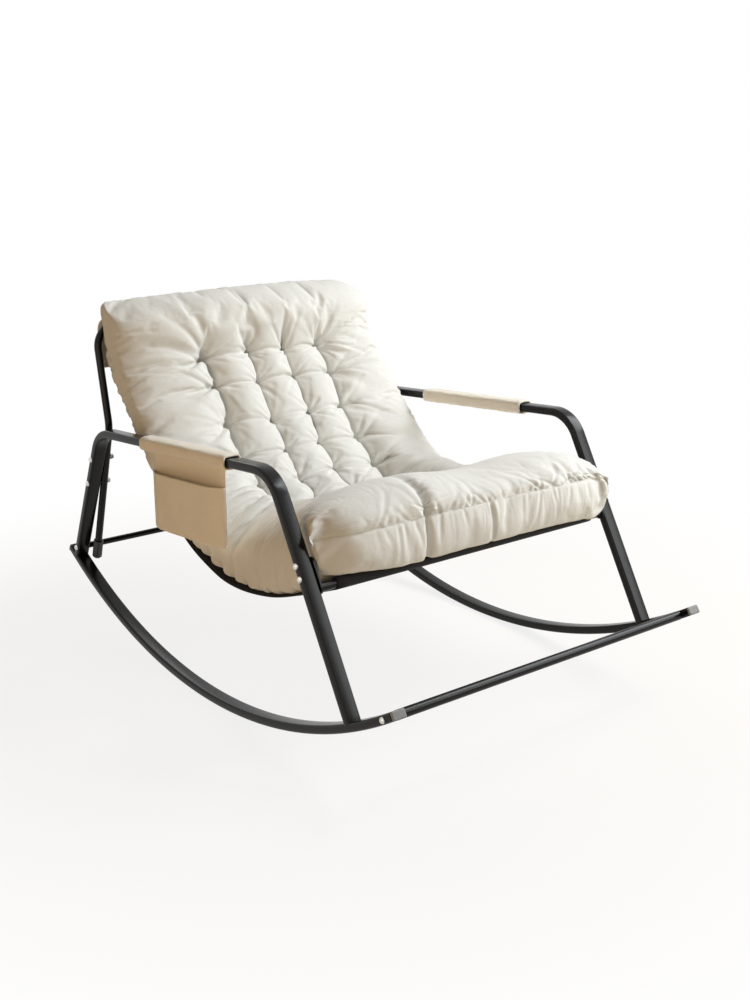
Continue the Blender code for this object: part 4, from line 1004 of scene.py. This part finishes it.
    def covers(self):
        """Places of the upper and of the lower cover, which meet in the seam round the edge."""
        p, s = self.size, self.s
        past_end = s - self.end
        edge = np.clip(1 - (np.abs(self.x) / self.half) ** 2.5, 0, 1) ** 0.42
        head = (1 - (1 - np.clip(s / PAD_HEAD_ROUND, 0, 1)) ** 2.2) ** 0.5
        fill = edge * head
        seam = self.seam_share()
        to_front = soft_step(-past_end / 0.022)
        inside = np.minimum(1, fill * 1.6) * to_front
        beside = soft_step((np.abs(self.x) - self.columns[-1]) / 0.06)
        rolls = p.side_roll * beside * bell(s - 0.605, 0.140)
        sag = p.front_sag * bell(self.x - 0.05, 0.11) * soft_step((s - 0.70) / 0.08)
        sag *= 1 - soft_step((past_end + 0.096) / 0.070)
        upper = self.thick * (seam + (1 - seam) * fill) - (p.slack - rolls + sag) * fill - self.sink() * inside
        bunched = 0.36 * bell(s - 0.590, 0.100) * (self.x < 0)
        self.rest = (REST_SHARE - bunched) * fill ** 0.8
        self.rest_across = REST_SHARE * edge[0, self.side_cells:] ** 0.8
        lower = self.thick * seam * (1 - np.minimum(1.0, self.rest)) ** 1.5
        off_sling = bell(s - 0.600, 0.100) * soft_step((-self.x - 0.20) / 0.08)
        lower += p.flank_lift * off_sling * np.minimum(1, fill * 5)
        face = np.clip((past_end + PAD_FRONT_FACE) / 0.02, 0, 1)
        x = self.place_x * self.half_width() / self.half
        drawn_back = p.front_round * soft_step((-x - 0.24) / 0.09) * soft_step((past_end + 0.17) / 0.12)
        hang = soft_step((past_end + 0.095) / 0.025) * (1 - soft_step((past_end + 0.050) / 0.050))
        hang *= p.front_hang * soft_step((x + 0.30) / 0.14) * np.minimum(1, edge * 1.5)
        places = []
        for height, folds, side in ((upper, self.folds(), 1), (lower, self.under_folds(), -1)):
            place = np.concatenate([x[..., None], self.base + self.up * height[..., None]], axis=2)
            place[..., 1] += drawn_back
            free = inside
            if side < 0:
                place[..., 1] -= 0.6 * hang
                place[..., 2] -= hang
                flank = np.clip(1 - self.rest, 0, 1) ** 0.6 * np.minimum(1, fill * 5) * to_front
                free = np.maximum(flank, face * inside)
            normal = np.cross(np.gradient(place, axis=0), np.gradient(place, axis=1)) * side
            normal /= np.maximum(np.linalg.norm(normal, axis=2, keepdims=True), 1e-12)
            place += normal * (folds * free * self.smooth_spots(self.x, s))[..., None]
            if side < 0:
                above = np.sum((place[..., 1:] - self.base) * self.up, axis=2)
                lift = np.where((self.thick > 0.02) & (hang < 1e-5), np.maximum(0.0, 0.0004 - above), 0.0)
                place[..., 1:] += self.up * lift[..., None]
            places.append(place)
        return places


def pad_mesh(form):
    """Two grids of cloth, one over and one under the stuffing, sewn together round the edge, and their pins."""
    places = form.covers()
    columns, rows = len(form.across) - 1, len(form.along) - 1
    tuft_columns = [form.side_cells + round(c / (form.across[1] - form.across[0])) for c in form.columns]
    tuft_rows = [int(np.argmin(np.abs(form.along - s))) for s in form.rows]
    bm = bmesh.new()
    bm.loops.layers.uv.verify()
    pin = bm.verts.layers.float.new("pin")
    swell = bm.verts.layers.float.new("swell")
    under = bm.verts.layers.float.new("under")
    for lower, place in enumerate(places):
        made = bmesh.ops.create_grid(bm, x_segments=columns, y_segments=rows, size=1.0, calc_uvs=True)
        for vertex in made["verts"]:
            i = round((vertex.co.x + 1) / 2 * columns)
            j = round((vertex.co.y + 1) / 2 * rows)
            vertex.co = place[j, i]
            to_front = min(1.0, (form.end - form.along[j]) / 0.06)
            vertex[swell] = form.size.swell * (0.6 - 0.1 * to_front if lower else 0.6 + 0.4 * to_front)
            vertex[under] = lower
            if j == rows and 0 < i < columns:
                vertex[pin] = 0.0
            elif i in (0, columns) or j == 0:
                vertex[pin] = SEAM_PIN
            elif lower:
                on_sling = form.rest[j, i] >= 0.98 and form.along[j] < form.end - PAD_FRONT_FACE
                vertex[pin] = 1.0 if on_sling else 0.0
            elif i in tuft_columns and tuft_rows[0] <= j <= tuft_rows[-1]:
                vertex[pin] = TUFT_PIN if j in tuft_rows else form.size.valley_hold
    bmesh.ops.remove_doubles(bm, verts=bm.verts, dist=1e-5)
    bmesh.ops.recalc_face_normals(bm, faces=bm.faces)
    return bm


def keep_between_frames(place):
    """Holds the pad's sides off the side frames and their plates; before the front legs it may swell out."""
    steel = steel_sizes()
    inner = steel.half_width - steel.tube_width / 2 - FRAME_AIR
    leg_face = steel.front_leg_floor + place[:, 2] * math.tan(steel.front_leg_lean)
    leg_face -= steel.tube_depth / 2 / math.cos(steel.front_leg_lean)
    limit = inner + SIDE_SWELL * soft_step((leg_face - place[:, 1] - PLATE_AIR) / SIDE_SWELL)
    limit -= SIDE_SOFT
    out = np.abs(place[:, 0])
    over = SIDE_SOFT * np.tanh(np.maximum(out - limit, 0) / SIDE_SOFT)
    place[:, 0] = np.sign(place[:, 0]) * (np.minimum(out, limit) + over)


def swell_cover(piece):
    """Lets the stuffing push the cover out, held at its pins, and keeps the result in the mesh."""
    p = pad_sizes()
    scene = bpy.context.scene
    mesh = piece.data
    start = mesh_values(mesh.vertices, "co", 3)
    held = mesh_values(mesh.attributes["pin"].data, "value")
    group = piece.vertex_groups.new(name="sewn")
    for weight in np.unique(held[held > 0]):
        group.add(np.flatnonzero(held == weight).tolist(), float(weight), "REPLACE")
    modifier = piece.modifiers.new("swell", "CLOTH")
    cover = modifier.settings
    for key, value in COVER_CLOTH.items():
        setattr(cover, key, value)
    cover.uniform_pressure_force = p.pressure
    cover.shrink_min = -p.spare
    cover.effector_weights.gravity = 0.0
    modifier.collision_settings.use_collision = False
    modifier.collision_settings.use_self_collision = False
    modifier.point_cache.frame_start = 1
    modifier.point_cache.frame_end = SWELL_FRAMES
    for step in range(1, SWELL_FRAMES + 1):
        scene.frame_set(step)
    graph = bpy.context.evaluated_depsgraph_get()
    move = mesh_values(piece.evaluated_get(graph).data.vertices, "co", 3) - start
    piece.modifiers.remove(modifier)
    piece.vertex_groups.remove(group)
    if not np.isfinite(move).all():
        raise RuntimeError("the stuffing of the pad did not settle")
    far = np.linalg.norm(move, axis=1, keepdims=True)
    most = mesh_values(mesh.attributes["swell"].data, "value")[:, None]
    place = start + move * (np.tanh(far / most) * most / np.maximum(far, 1e-9))
    keep_between_frames(place)
    mesh.vertices.foreach_set("co", place.ravel())
    mesh.update()
    scene.frame_set(1)


def press_small_folds(piece, form):
    """Presses the seam, the sewn lines and the small folds into the swollen and smoothed cover."""
    mesh = piece.data
    count = len(mesh.vertices)
    place = mesh_values(mesh.vertices, "co", 3)
    normal = mesh_values(mesh.vertices, "normal", 3)
    upper = mesh_values(mesh.attributes["under"].data, "value") < 0.5
    flat = np.empty((count, 2), np.float32)
    flat[mesh_values(mesh.loops, "vertex_index", kind=np.int32)] = mesh_values(mesh.uv_layers[0].uv, "vector", 2)
    x, s = flat[:, 0] - form.half, flat[:, 1]
    depth = np.zeros(count, np.float32)
    for cover, rays in zip((upper, ~upper), form.small_folds()):
        depth[cover] = form.creased(rays, x[cover], s[cover], 0.04)
    to_seam = np.minimum(np.minimum(form.half - np.abs(x), form.end - s), s)
    depth *= 0.25 + 0.75 * soft_step(to_seam / 0.014)
    depth *= form.smooth_spots(x, s)
    side, off_row, past_columns, past_rows = form.off_tufts(x, s)
    past_field = bell(past_rows, 0.012)
    sewn = 0.0110 * bell(side, SEWN_LINE) * past_field
    across = 0.0062 * bell(off_row, SEWN_LINE) * bell(side, 0.026) * bell(past_columns, 0.012)
    depth -= np.where(upper, np.maximum(sewn, across), 0)
    depth -= form.size.seam_depth * bell(to_seam, 0.0035)
    rest = np.interp(np.abs(x), form.across[form.side_cells:], form.rest_across)
    on_sling = ~upper & (s <= form.end - PAD_FRONT_FACE)
    held = np.where(on_sling, np.clip(1.15 - rest, 0, 1), 1.0)
    closed = 0.0030 * bell(np.abs(side) - 0.006, 0.004) * past_field
    place[:, 0] -= np.where(upper, np.sign(side) * closed, 0)
    place += normal * (depth * held)[:, None]
    base, up = form.at_points(form.base, x, s), form.at_points(form.up, x, s)
    over_floor = np.sum((place[:, 1:] - base) * up, axis=1) - form.size.tuft_floor
    kept = (over_floor + np.sqrt(over_floor ** 2 + 0.004 ** 2)) / 2
    lift = np.where(upper & (to_seam > 0.06), kept - over_floor, 0)
    place[:, 1:] += up * lift[:, None]
    sling_half = np.interp(s, form.along, [sling_half_width(*q) for q in form.base[:, form.side_cells]])
    over_sling = soft_step((sling_half + 0.008 - np.abs(place[:, 0])) / 0.006)
    sunk = np.maximum(0, 0.0006 - np.sum((place[:, 1:] - base) * up, axis=1))
    place[:, 1:] += up * np.where(on_sling, sunk * over_sling, 0)[:, None]
    keep_between_frames(place)
    mesh.vertices.foreach_set("co", place.ravel())
    mesh.update()


class CHAIR_OT_pad(Operator):
    """Sews the tufted pad, swells it with its stuffing and smooths the cover"""
    bl_idname = "chair.pad"
    bl_label = "Tufted Pad"

    def execute(self, context):
        form = PadForm()
        pad = finished("tufted_pad", pad_mesh(form), pad_cotton(), 180.0)
        scale_map(pad.data, 2 * form.half, form.end)
        swell_cover(pad)
        add_modifier(pad, "SUBSURF", levels=1, render_levels=1)
        apply_modifiers(pad)
        press_small_folds(pad, form)
        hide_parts("cushion")
        return {"FINISHED"}


# Air between the hood and what it covers, its cloth, and how far its corners are sewn in, left and right
HOOD_AIR, HOOD_CLOTH = 0.0006, 0.0018
HOOD_CORNERS = (0.075, 0.035)


class CHAIR_OT_hood(Operator):
    """Pulls the pad's hood down over the bow, behind the back"""
    bl_idname = "chair.hood"
    bl_label = "Hood"

    def execute(self, context):
        s, c = steel_sizes(), cloth_sizes()
        reach = s.post_radius + GAP + CLOTH + HOOD_AIR + CLOTH / 2
        bow = Vector((post_y(s.bow_top), s.bow_top))
        outward = Vector((math.cos(s.post_upper_lean), -math.sin(s.post_upper_lean)))
        under = pad_under()
        sewn = under[0].lerp(under[PAD_STEPS], 0.30) + outward * (CLOTH / 2 + HOOD_AIR)
        over = arc_points(bow, reach, math.radians(75.0), math.radians(-75.0) - s.post_upper_lean, 12)
        hem = Vector((post_y(c.hood_hem) + reach / math.cos(s.post_upper_lean), c.hood_hem))
        line = [sewn] + over + [hem]
        lengths = line_lengths(line)

        def place(u, v):
            here = line_at(line, lengths, v * lengths[-1])
            ripple = noise.noise((u * 9.0, v * 1.5, 3.3)) * 0.0016 * v
            ripple += noise.noise((u * 26.0, 0.4, 1.1)) * 0.0007
            here = here + outward * abs(ripple)
            sewn_in = max(0.0, 1 - v / 0.45) ** 2 * HOOD_CORNERS[0 if u > 0 else 1]
            return side_point(u * (c.hood_half - sewn_in), here)

        cotton = finish_for("hood_cotton", woven_material, colours().pad, *COTTON)
        hood = grid_cloth("pad_hood", 90, 36, 2 * c.hood_half, lengths[-1], place, cotton, HOOD_CLOTH)
        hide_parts("cushion_hood")
        return {"FINISHED"}


# Air between an arm and its sleeve, the roundness of a sleeve, and the room that its wall leaves round the arm
SLEEVE_AIR, SLEEVE_POWER, SLEEVE_ROOM = 0.0005, 2 / 3.4, 0.0025
SLEEVE_RIPPLE = 0.0010


class CHAIR_OT_sleeves(Operator):
    """Wraps a padded sleeve round each arm"""
    bl_idname = "chair.sleeves"
    bl_label = "Arm Sleeves"

    def execute(self, context):
        s, c = steel_sizes(), cloth_sizes()
        for side, sign in SIDES:
            sleeve = self.sleeve(f"padded_sleeve_{side}", sign, s, c)
            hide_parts(f"arm_sleeve_{side}")
        return {"FINISHED"}

    def sleeve(self, name, sign, s, c):
        bm = bmesh.new()
        layer = bm.loops.layers.uv.verify()
        bmesh.ops.create_grid(bm, x_segments=64, y_segments=70, size=1.0, calc_uvs=True)
        slope = Matrix.Rotation(s.arm_slope, 3, "X")
        middle = Vector((sign * s.half_width, c.sleeve_middle, arm_z(c.sleeve_middle)))
        inner = (s.tube_width / 2 + SLEEVE_AIR, s.tube_depth / 2 + SLEEVE_AIR)
        perimeter = 2 * math.pi * (inner[0] + c.sleeve_padding) * 0.85
        for face in bm.faces:
            for loop in face.loops:
                loop[layer].uv = (loop[layer].uv[0] * perimeter, loop[layer].uv[1] * c.sleeve_length)
        for vertex in bm.verts:
            angle = (vertex.co.x + 1) * math.pi
            vertex.co = middle + slope @ self.wrap(angle, vertex.co.y, inner, sign, c)
        bmesh.ops.remove_doubles(bm, verts=bm.verts, dist=1e-5)
        bmesh.ops.recalc_face_normals(bm, faces=bm.faces)
        sleeve = finished(name, bm, sleeve_canvas(), 70.0)
        add_modifier(sleeve, "SOLIDIFY", thickness=c.sleeve_padding - SLEEVE_ROOM, offset=-1.0,
                     use_even_offset=True)
        return sleeve

    def wrap(self, angle, at, inner, sign, c):
        """A point of the sleeve's outside: a soft rounded box, puckered at its ends."""
        wide, deep = inner[0] + c.sleeve_padding, inner[1] + c.sleeve_padding
        cos, sin = math.cos(angle), math.sin(angle)
        x = wide * math.copysign(abs(cos) ** SLEEVE_POWER, cos)
        z = deep * math.copysign(abs(sin) ** SLEEVE_POWER, sin)
        end = max(0.0, (abs(at) - 0.90) / 0.10)
        pinch = 1 - 0.03 * end ** 2
        ripple = noise.noise((angle * 1.4 + sign, at * 9.0, 2.2)) * SLEEVE_RIPPLE
        out = Vector((x, 0, z)).normalized()
        return Vector((x * pinch, at * c.sleeve_length / 2, z * pinch)) + out * (ripple - SLEEVE_RIPPLE)


POCKET_CLOTH, POCKET_BEND = 0.0016, 0.007


class CHAIR_OT_pocket(Operator):
    """Hangs the cloth pocket under the right arm"""
    bl_idname = "chair.pocket"
    bl_label = "Arm Pocket"

    def execute(self, context):
        s, c = steel_sizes(), cloth_sizes()
        below = s.tube_depth / 2 + SLEEVE_AIR + c.sleeve_padding
        hang = arm_z(c.sleeve_middle) - below / math.cos(s.arm_slope) + 0.001
        back_x = -s.half_width
        front_x = back_x - c.pocket_depth
        line = rounded_path([(back_x, hang), (back_x, c.pocket_bottom), (front_x, c.pocket_bottom),
                             (front_x, c.pocket_mouth)], POCKET_BEND, 8)
        lengths = line_lengths(line)
        tilt = math.tan(s.arm_slope)

        def place(u, v):
            here = line_at(line, lengths, v * lengths[-1])
            edge = abs(u) ** 6
            x = here[0] + (back_x - 0.0022 - here[0]) * edge * (1 if here[0] < back_x - 0.002 else 0)
            sag = noise.noise((u * 2.2, v * 4.0, 5.2)) * 0.0022 * (1 - edge)
            y = c.sleeve_middle + u * c.pocket_length / 2
            return Vector((x - abs(sag), y, here[1] + (y - c.sleeve_middle) * tilt))

        pocket = grid_cloth("arm_pocket_cloth", 80, 90, c.pocket_length, lengths[-1], place, sleeve_canvas(),
                            POCKET_CLOTH)
        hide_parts("arm_pocket")
        return {"FINISHED"}


# Stage

COOL, WHITE, WARM = (0.94, 0.98, 1.0), (1.0, 1.0, 1.0), (1.0, 0.66, 0.34)
# Of each lamp: name, place, target, size, power and colour
LAMPS = (
    ("key_light", (2.0, -0.8, 2.3), (0, 0, 0.3), 1.8, 67.0, COOL),
    ("bend_light", (1.05, -1.0, 2.5), (-0.3, -0.25, 0.42), 0.4, 9.0, COOL),
    ("back_light", (0.3, 2.2, 2.0), (0, 0, 0.4), 1.4, 13.0, WHITE),
    ("leg_light", (1.45, -1.78, 1.20), (0, -0.3, 0.3), 1.3, 20.0, (0.96, 0.99, 1.0)),
    ("warm_fill", (-2.5, -0.7, 0.8), (0, 0, 0.3), 1.6, 11.5, WARM),
)
FLOOR_HALF = 12.0
# Where the floor's shading fades to white, from the chair's middle, and how white it is under the chair
FLOOR_FADE = (0.65, 1.35, 0.84, 1.0)
ROOM_COLOUR, ROOM_STRENGTH = (1.0, 0.84, 0.64, 1.0), 0.12
CAMERA_PLACE, CAMERA_AROUND, CAMERA_UP = (-1.4180, -1.8552, 0.9964), -38.317, 16.612
CAMERA_LENS, CAMERA_SENSOR = 47.17, 36.0


def lamp(name, place, target, size, power, colour):
    light = bpy.data.lights.new(name, "AREA")
    light.shape = "DISK"
    light.size = size
    light.energy = power
    light.color = colour
    item = bpy.data.objects.new(name, light)
    item.location = place
    item.rotation_euler = (Vector(target) - Vector(place)).to_track_quat("-Z", "Y").to_euler()
    bpy.context.scene.collection.objects.link(item)


class CHAIR_OT_stage(Operator):
    """Sets the white floor, the soft lights and the camera"""
    bl_idname = "chair.stage"
    bl_label = "Stage"

    def execute(self, context):
        self.floor()
        self.world()
        for values in LAMPS:
            lamp(*values)
        self.camera()
        return {"FINISHED"}

    def floor(self):
        bm = bmesh.new()
        bmesh.ops.create_grid(bm, x_segments=1, y_segments=1, size=FLOOR_HALF)
        mesh = bpy.data.meshes.new("studio_floor")
        bm.to_mesh(mesh)
        bm.free()
        floor = bpy.data.objects.new("studio_floor", mesh)
        bpy.context.scene.collection.objects.link(floor)
        finish = Finish("studio_floor", colours().floor, 0.9)
        finish.coat({"Specular IOR Level": 0.0})
        glow = finish.add("Emission", {"Strength": 1.0}, "Emission")
        away = finish.add("VectorMath", {0: finish.place()}, "Value", operation="LENGTH")
        seen = finish.work("MULTIPLY", finish.camera_seen(), finish.band(away, *FLOOR_FADE))
        finish.blend(seen, finish.shader.outputs["BSDF"], glow, "Material Output")
        mesh.materials.append(finish.material)

    def world(self):
        world = bpy.data.worlds.new("studio_world")
        bpy.context.scene.world = world
        world.use_nodes = True
        kit = NodeKit(world.node_tree)
        room = kit.nodes["Background"]
        kit.join(ROOM_COLOUR, room.inputs["Color"])
        kit.join(ROOM_STRENGTH, room.inputs["Strength"])
        white = kit.add("Background", {"Color": (*WHITE, 1.0), "Strength": 1.0}, "Background")
        kit.blend(kit.camera_seen(), room.outputs["Background"], white, "World Output")

    def camera(self):
        scene = bpy.context.scene
        around, up_turn = math.radians(CAMERA_AROUND), math.radians(CAMERA_UP)
        back = Vector((math.sin(around) * math.cos(up_turn), -math.cos(around) * math.cos(up_turn),
                       math.sin(up_turn)))
        right = Vector((math.cos(around), math.sin(around), 0))
        view = Matrix((right, back.cross(right), back)).transposed().to_4x4()
        view.translation = CAMERA_PLACE
        data = bpy.data.cameras.new("photo_camera")
        data.lens = CAMERA_LENS
        data.sensor_width = CAMERA_SENSOR
        item = bpy.data.objects.new("photo_camera", data)
        item.matrix_world = view
        scene.collection.objects.link(item)
        scene.camera = item
        scene.view_settings.view_transform = "Standard"


STEPS = (CHAIR_OT_rockers, CHAIR_OT_hoops, CHAIR_OT_tubes, CHAIR_OT_fittings, CHAIR_OT_sling, CHAIR_OT_pad,
         CHAIR_OT_hood, CHAIR_OT_sleeves, CHAIR_OT_pocket, CHAIR_OT_stage)


class CHAIR_PT_panel(Panel):
    """The steps of the chair, in order, and its colours"""
    bl_idname = "CHAIR_PT_panel"
    bl_label = "Rocking Lounge Chair"
    bl_space_type = "VIEW_3D"
    bl_region_type = "UI"
    bl_category = "Chair"

    def draw(self, context):
        for step in STEPS:
            self.layout.operator(step.bl_idname)
        for name in ChairColours.__annotations__:
            self.layout.prop(context.scene.chair_colours, name)


GROUPS = {"chair_steel": ChairSteel, "chair_pad": ChairPad, "chair_cloth": ChairCloth,
          "chair_colours": ChairColours}


def register():
    for group in (*GROUPS.values(), *STEPS, CHAIR_PT_panel):
        bpy.utils.register_class(group)
    for name, group in GROUPS.items():
        setattr(bpy.types.Scene, name, PointerProperty(type=group))


def unregister():
    for name in GROUPS:
        delattr(bpy.types.Scene, name)
    for group in reversed((*GROUPS.values(), *STEPS, CHAIR_PT_panel)):
        bpy.utils.unregister_class(group)


def main():
    register()
    for step in STEPS:
        group, name = step.bl_idname.split(".")
        getattr(getattr(bpy.ops, group), name)()


if __name__ == "__main__":
    main()
